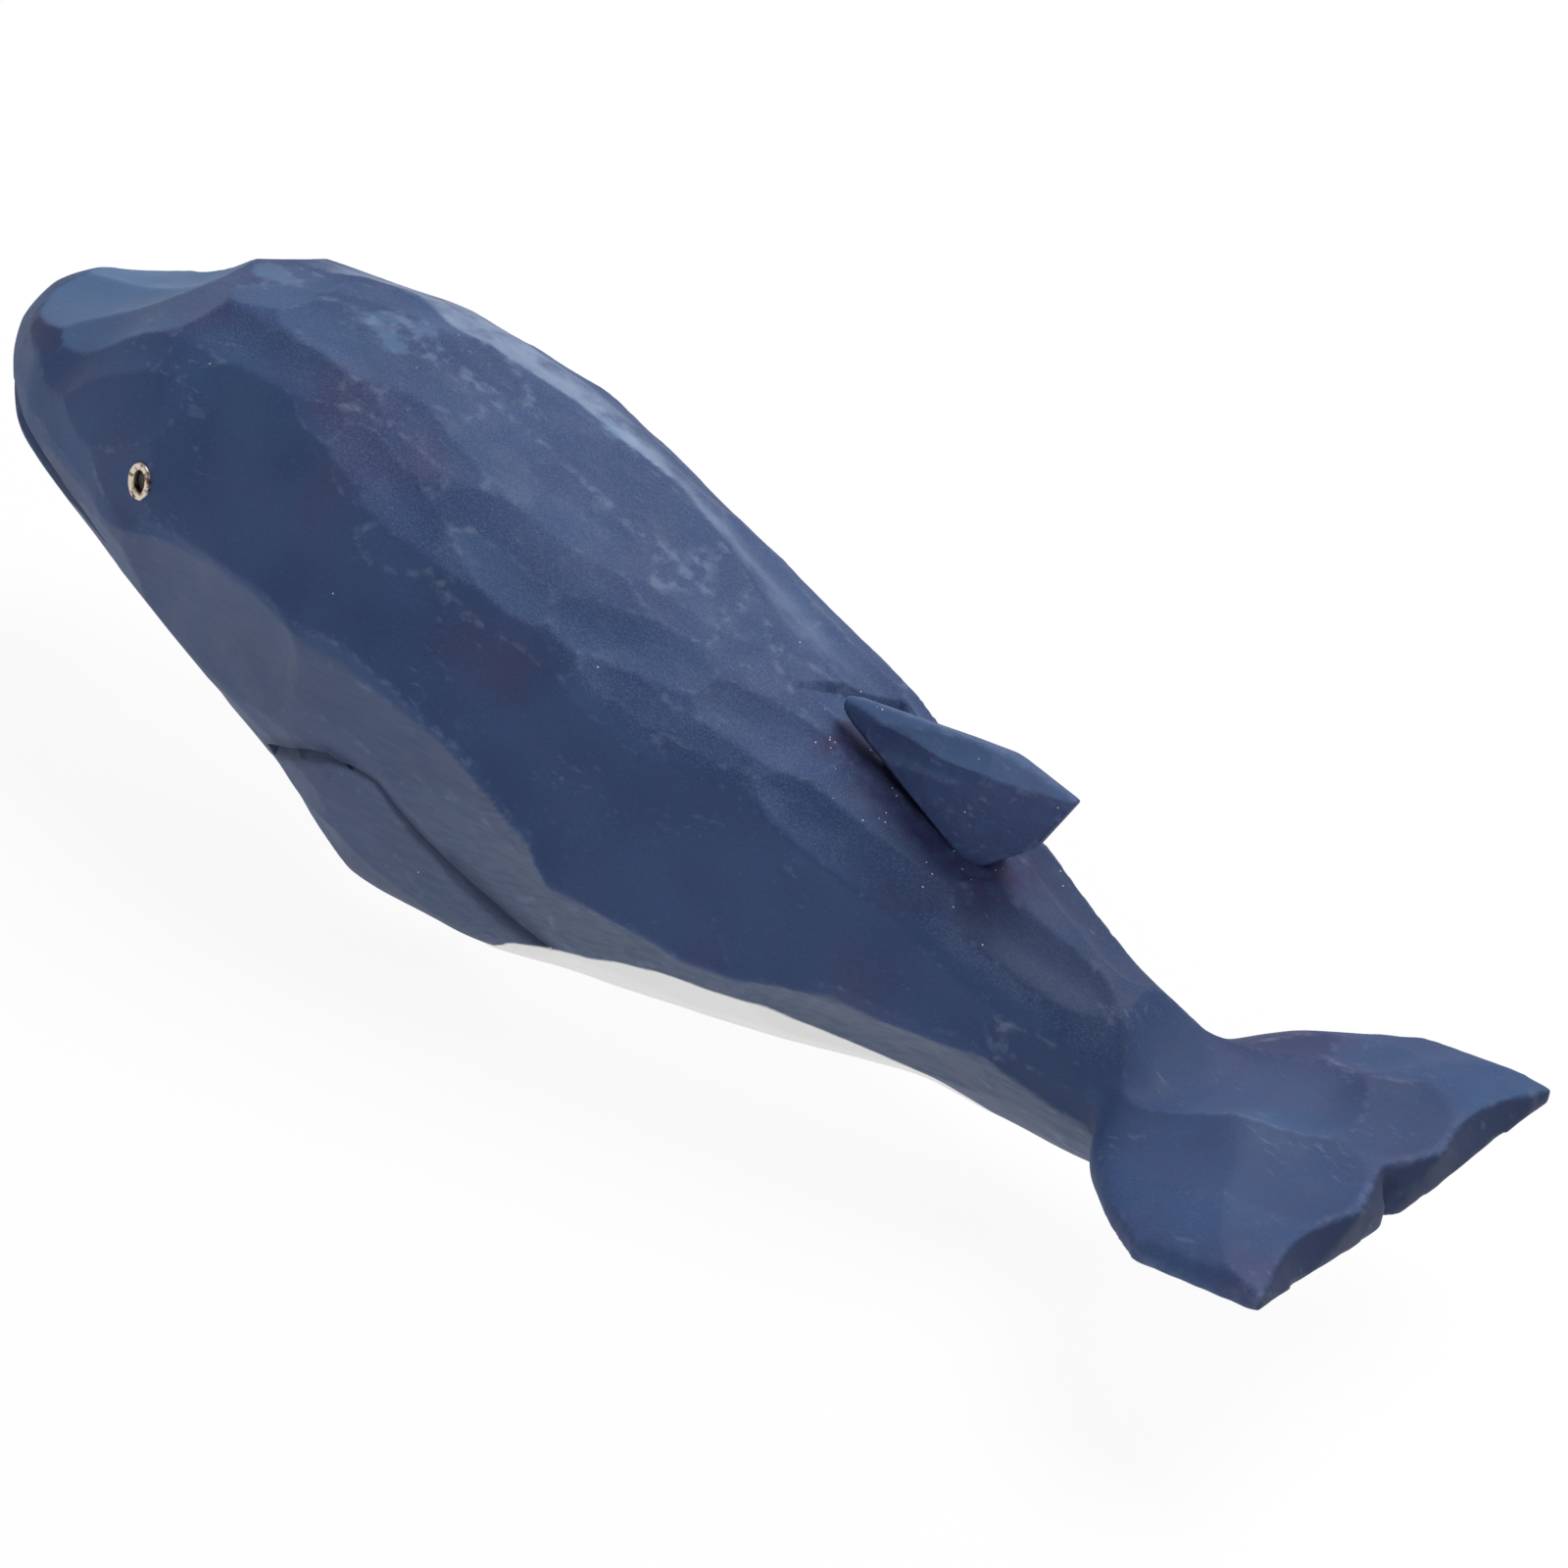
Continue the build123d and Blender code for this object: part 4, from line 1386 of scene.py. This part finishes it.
@dataclass
class Eye:
    """A metal eyelet pressed into the cheek, with a dark peg in its bore."""
    side: Side
    segments: int = 64
    tall: float = 1.22           # the eyelet was squeezed a little narrow
    stand: float = 0.05          # how far its rim stands on the wood, by its radius
    ray_lift: float = 4          # how far out the wood is looked for, by its radius
    bore: float = 0.75           # radius of the hole in the wood, by its radius
    bore_depth: float = 2        # length of the drill, by its radius
    wobble: float = 2.2          # how close together its dents are, by its radius

    def seat(self, wood: BVHTree) -> tuple[Vector, Matrix, float]:
        """Find the eyelet's place from its solid and the carved wood.

        Args:
            wood: the carved body.

        Returns:
            The centre of its rim, its turn and its radius.
        """
        node = f"{self.side.name.lower()}_eye_ring"
        points = np.array([v.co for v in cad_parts[node].data.vertices])
        middle = points.mean(0)
        _, _, axes = np.linalg.svd(points - middle)
        outward = axes[0] * np.sign(axes[0][1]) * self.side.value
        along = (points - middle) @ outward
        radius = float(np.linalg.norm((points - middle) - along[:, None] * outward, axis=1).max())
        top = Vector(middle + outward * along.max())
        turn = Vector(outward).to_track_quat("Z", "Y").to_matrix().to_4x4()
        axis = turn.col[2].to_3d()
        place = wood.ray_cast(top + axis * radius * self.ray_lift, -axis)[0]
        return place + axis * self.stand * radius, turn, radius

    def drill(self, wood: BVHTree) -> Object:
        """Make the tool that bores the eyelet's hole.

        Args:
            wood: the carved body.

        Returns:
            The tool.
        """
        spot, turn, radius = self.seat(wood)
        shape = bmesh.new()
        bmesh.ops.create_cone(shape, cap_ends=True, segments=self.segments, radius1=radius * self.bore,
                              radius2=radius * self.bore, depth=radius * self.bore_depth,
                              matrix=Matrix.Translation(spot) @ turn)
        return new_piece("drill", as_mesh(shape, "drill"))

    def build(self, wood: BVHTree, metal: Material, stain_and_shade: Material) -> None:
        """Make the eyelet and its peg, and dress them.

        Args:
            wood: the carved body.
            metal: finish of the eyelet.
            stain_and_shade: finish of the peg.
        """
        top, turn, radius = self.seat(wood)
        side = self.side.name.lower()
        # the peg's finish is nearly black: its dark stain, and painted shade of the bore
        for part, finish in ((EYELET, metal), (PEG, stain_and_shade)):
            shape = bmesh.new()
            verts = [shape.verts.new((r * radius, 0, h * radius)) for r, h in part.profile]
            edges = [shape.edges.new(pair) for pair in zip(verts, verts[1:])]
            if part.hollow:
                edges.append(shape.edges.new((verts[-1], verts[0])))
            bmesh.ops.spin(shape, geom=verts + edges, cent=(0, 0, 0), axis=(0, 0, 1), angle=math.tau,
                           steps=self.segments, use_merge=True)
            bmesh.ops.remove_doubles(shape, verts=shape.verts, dist=TINY)
            bmesh.ops.holes_fill(shape, edges=shape.edges)
            for vert in shape.verts:
                vert.co *= 1 + noise.noise(vert.co / radius * self.wobble) * part.unevenness
            bmesh.ops.recalc_face_normals(shape, faces=shape.faces)
            bmesh.ops.scale(shape, vec=Vector((1, self.tall, 1)), verts=shape.verts)
            bmesh.ops.transform(shape, matrix=Matrix.Translation(top) @ turn, verts=shape.verts)
            piece = new_piece(f"{side}_{part.node}_finish", as_mesh(shape, part.node))
            dress(piece, finish, f"{side}_{part.node}")


@dataclass
class Studio:
    """A pale floor, white surroundings and a soft lamp."""
    floor_size: float = 3.0
    floor_gap: float = 0.03 * MM     # keeps the floor off the resting flat
    floor_colour: str = "#f4f4f4"
    floor_glow: float = 0.9          # how much of the floor is plain white to the camera
    bounce: float = 0.55             # and to the whale, as a lit table would throw back
    world_strength: float = 0.53
    lamp_place: tuple[float, float, float] = (0.05, 0.45, 0.8)
    lamp_size: float = 0.6
    lamp_watts: float = 6.3

    def build(self) -> None:
        """Make the floor, the world and the lamp."""
        shape = bmesh.new()
        bmesh.ops.create_grid(shape, x_segments=1, y_segments=1, size=self.floor_size)
        floor = new_piece("floor", as_mesh(shape, "floor"))
        floor.location.z = cad_box[0][2] - self.floor_gap
        material = bpy.data.materials.new("white_sweep")
        tree = blank(material)
        matte = add(tree, "ShaderNodeBsdfDiffuse", {"Color": linear(self.floor_colour)})
        glow = add(tree, "ShaderNodeEmission", {"Color": (1, 1, 1, 1), "Strength": 1.0})
        ray = add(tree, "ShaderNodeLightPath").outputs["Is Camera Ray"]
        share = add(tree, "ShaderNodeMapRange",
                    {"Value": ray, "To Min": self.bounce, "To Max": self.floor_glow})
        both = add(tree, "ShaderNodeMixShader", {0: share, 1: matte, 2: glow})
        add(tree, "ShaderNodeOutputMaterial", {"Surface": both})
        floor.data.materials.append(material)
        self.world()
        self.lamp()
        log.info("studio: floor, world and lamp")

    def world(self) -> None:
        """Make white surroundings, dimmer as light than they look."""
        world = bpy.data.worlds.new("studio")
        tree = blank(world)
        seen = add(tree, "ShaderNodeBackground", {"Color": (1, 1, 1, 1), "Strength": 1.0})
        light = add(tree, "ShaderNodeBackground", {"Color": (1, 1, 1, 1), "Strength": self.world_strength})
        path = add(tree, "ShaderNodeLightPath")
        straight = add(tree, "ShaderNodeMath",
                       {0: path.outputs["Is Camera Ray"], 1: path.outputs["Is Transmission Ray"]},
                       operation="MAXIMUM")
        both = add(tree, "ShaderNodeMixShader", {0: straight, 1: light, 2: seen})
        add(tree, "ShaderNodeOutputWorld", {"Surface": both})
        bpy.context.scene.world = world

    def lamp(self) -> None:
        """Make a square soft lamp that faces the whale."""
        data = bpy.data.lights.new("top_softbox", "AREA")
        data.size = self.lamp_size
        data.energy = self.lamp_watts
        lamp = bpy.data.objects.new("top_softbox", data)
        place = Vector(self.lamp_place)
        lamp.matrix_world = Matrix.Translation(place) @ place.to_track_quat("Z", "Y").to_matrix().to_4x4()
        bpy.context.scene.collection.objects.link(lamp)


# Strokes on the left flank, from the snout back: pixels of the photograph where each starts and
# ends, its width, its hollow and its tone, of which the last ones may be left out
BODY_CUTS = [
    # Brow
    (50, 311, 240, 281, 28, 1.4, 0.35), (58, 341, 225, 306, 30, 1.4, 0.15), (36, 374, 185, 349, 34, 1.3),
    (34, 332, 68, 362, 24, 1, -0.3), (180, 318, 350, 402, 52, 1.1, -0.15),
    # Cheek
    (50, 415, 335, 428, 70), (75, 475, 350, 500, 72, 1, -0.05), (110, 512, 280, 560, 50, 1, -0.1),
    (235, 500, 440, 600, 60), (390, 588, 590, 700, 62, 1, -0.05), (540, 690, 700, 800, 62),
    (280, 568, 410, 648, 26, 1.2, -0.3), (150, 545, 330, 650, 38, 1, -0.05),
    (290, 620, 470, 745, 48, 1, 0.05), (430, 705, 575, 870, 55),
    # Jaw
    (125, 562, 300, 700, 62), (285, 675, 490, 815, 58), (400, 780, 590, 945, 46), (330, 790, 450, 905, 60),
    (400, 880, 540, 955, 40),
    # Back
    (252, 278, 345, 290, 22, 1, 0.4), (240, 292, 320, 312, 26, 1, 0.15), (290, 308, 405, 388, 40, 1, 0.1),
    (335, 300, 450, 385, 34, 1, 0.3), (425, 318, 600, 450, 38), (390, 350, 555, 470, 46),
    (340, 425, 455, 560, 58), (385, 395, 500, 510, 44, 1, 0.03), (455, 500, 560, 640, 60, 1, 0.03),
    (490, 440, 640, 590, 52), (560, 440, 730, 580, 48, 1, 0.15), (530, 368, 690, 486, 22, 1, 0.7),
    (640, 565, 830, 668, 62, 1, 0.03), (560, 612, 760, 712, 64), (590, 668, 790, 790, 60),
    # Flank and stock
    (700, 690, 860, 790, 60, 1, 0.03), (770, 790, 960, 935, 62, 1, 0.03),
    (820, 770, 1000, 905, 50, 1, 0.05), (735, 812, 965, 980, 40, 1.1, -0.3), (600, 770, 780, 890, 70),
    (740, 870, 1000, 1040, 50, 1, 0.05), (600, 850, 800, 945, 56, 1, 0.05),
    (610, 915, 830, 1000, 46, 1, -0.2), (800, 985, 1010, 1070, 40, 1, -0.1), (555, 935, 700, 992, 42),
    (740, 1008, 1015, 1105, 34), (900, 915, 1070, 1055, 50, 1, -0.1), (970, 905, 1140, 1030, 56, 1, -0.08),
    (960, 1010, 1110, 1110, 44, 1, -0.15), (1040, 1060, 1120, 1180, 30, 1, -0.3),
    # a gouge along the fin's root, darkened with painted shade
    (860, 730, 1010, 890, 26, 3.0, -0.5),
    # Flukes
    (1150, 1050, 1400, 1135, 58, 2.2, 0.02), (1140, 1125, 1385, 1205, 90, 1.4, -0.08),
    (1240, 1072, 1455, 1094, 40, 0.8, 0.1),
]
FIN_CUTS = [
    (882, 750, 1000, 792, 34, 0.8, 0.1),
]


def cuts_of(rows: Iterable[tuple[float, ...]]) -> list[Cut]:
    """Cuts from rows of where each starts and ends, its width, its hollow and its tone."""
    return [Cut(row[:2], row[2:4], *row[4:]) for row in rows]


def main() -> None:
    """Build the whale and its studio."""
    logging.basicConfig(level=logging.INFO, format="%(message)s")
    bpy.context.scene.view_settings.view_transform = "Standard"
    Photograph().build()
    paint = CarverPaint().build()
    body, wood = CarvedBody().build(cuts_of(BODY_CUTS))
    dress(body, paint, "body")
    dress(DorsalFin().build(cuts_of(FIN_CUTS)), paint, "dorsal_fin")
    metal = TARNISHED_NICKEL.build()
    stain_and_shade = DARK_PEG_STAIN_AND_SHADE.build()
    for side in Side:
        Eye(side).build(wood, metal, stain_and_shade)
    Studio().build()


if __name__ == "__main__":
    main()
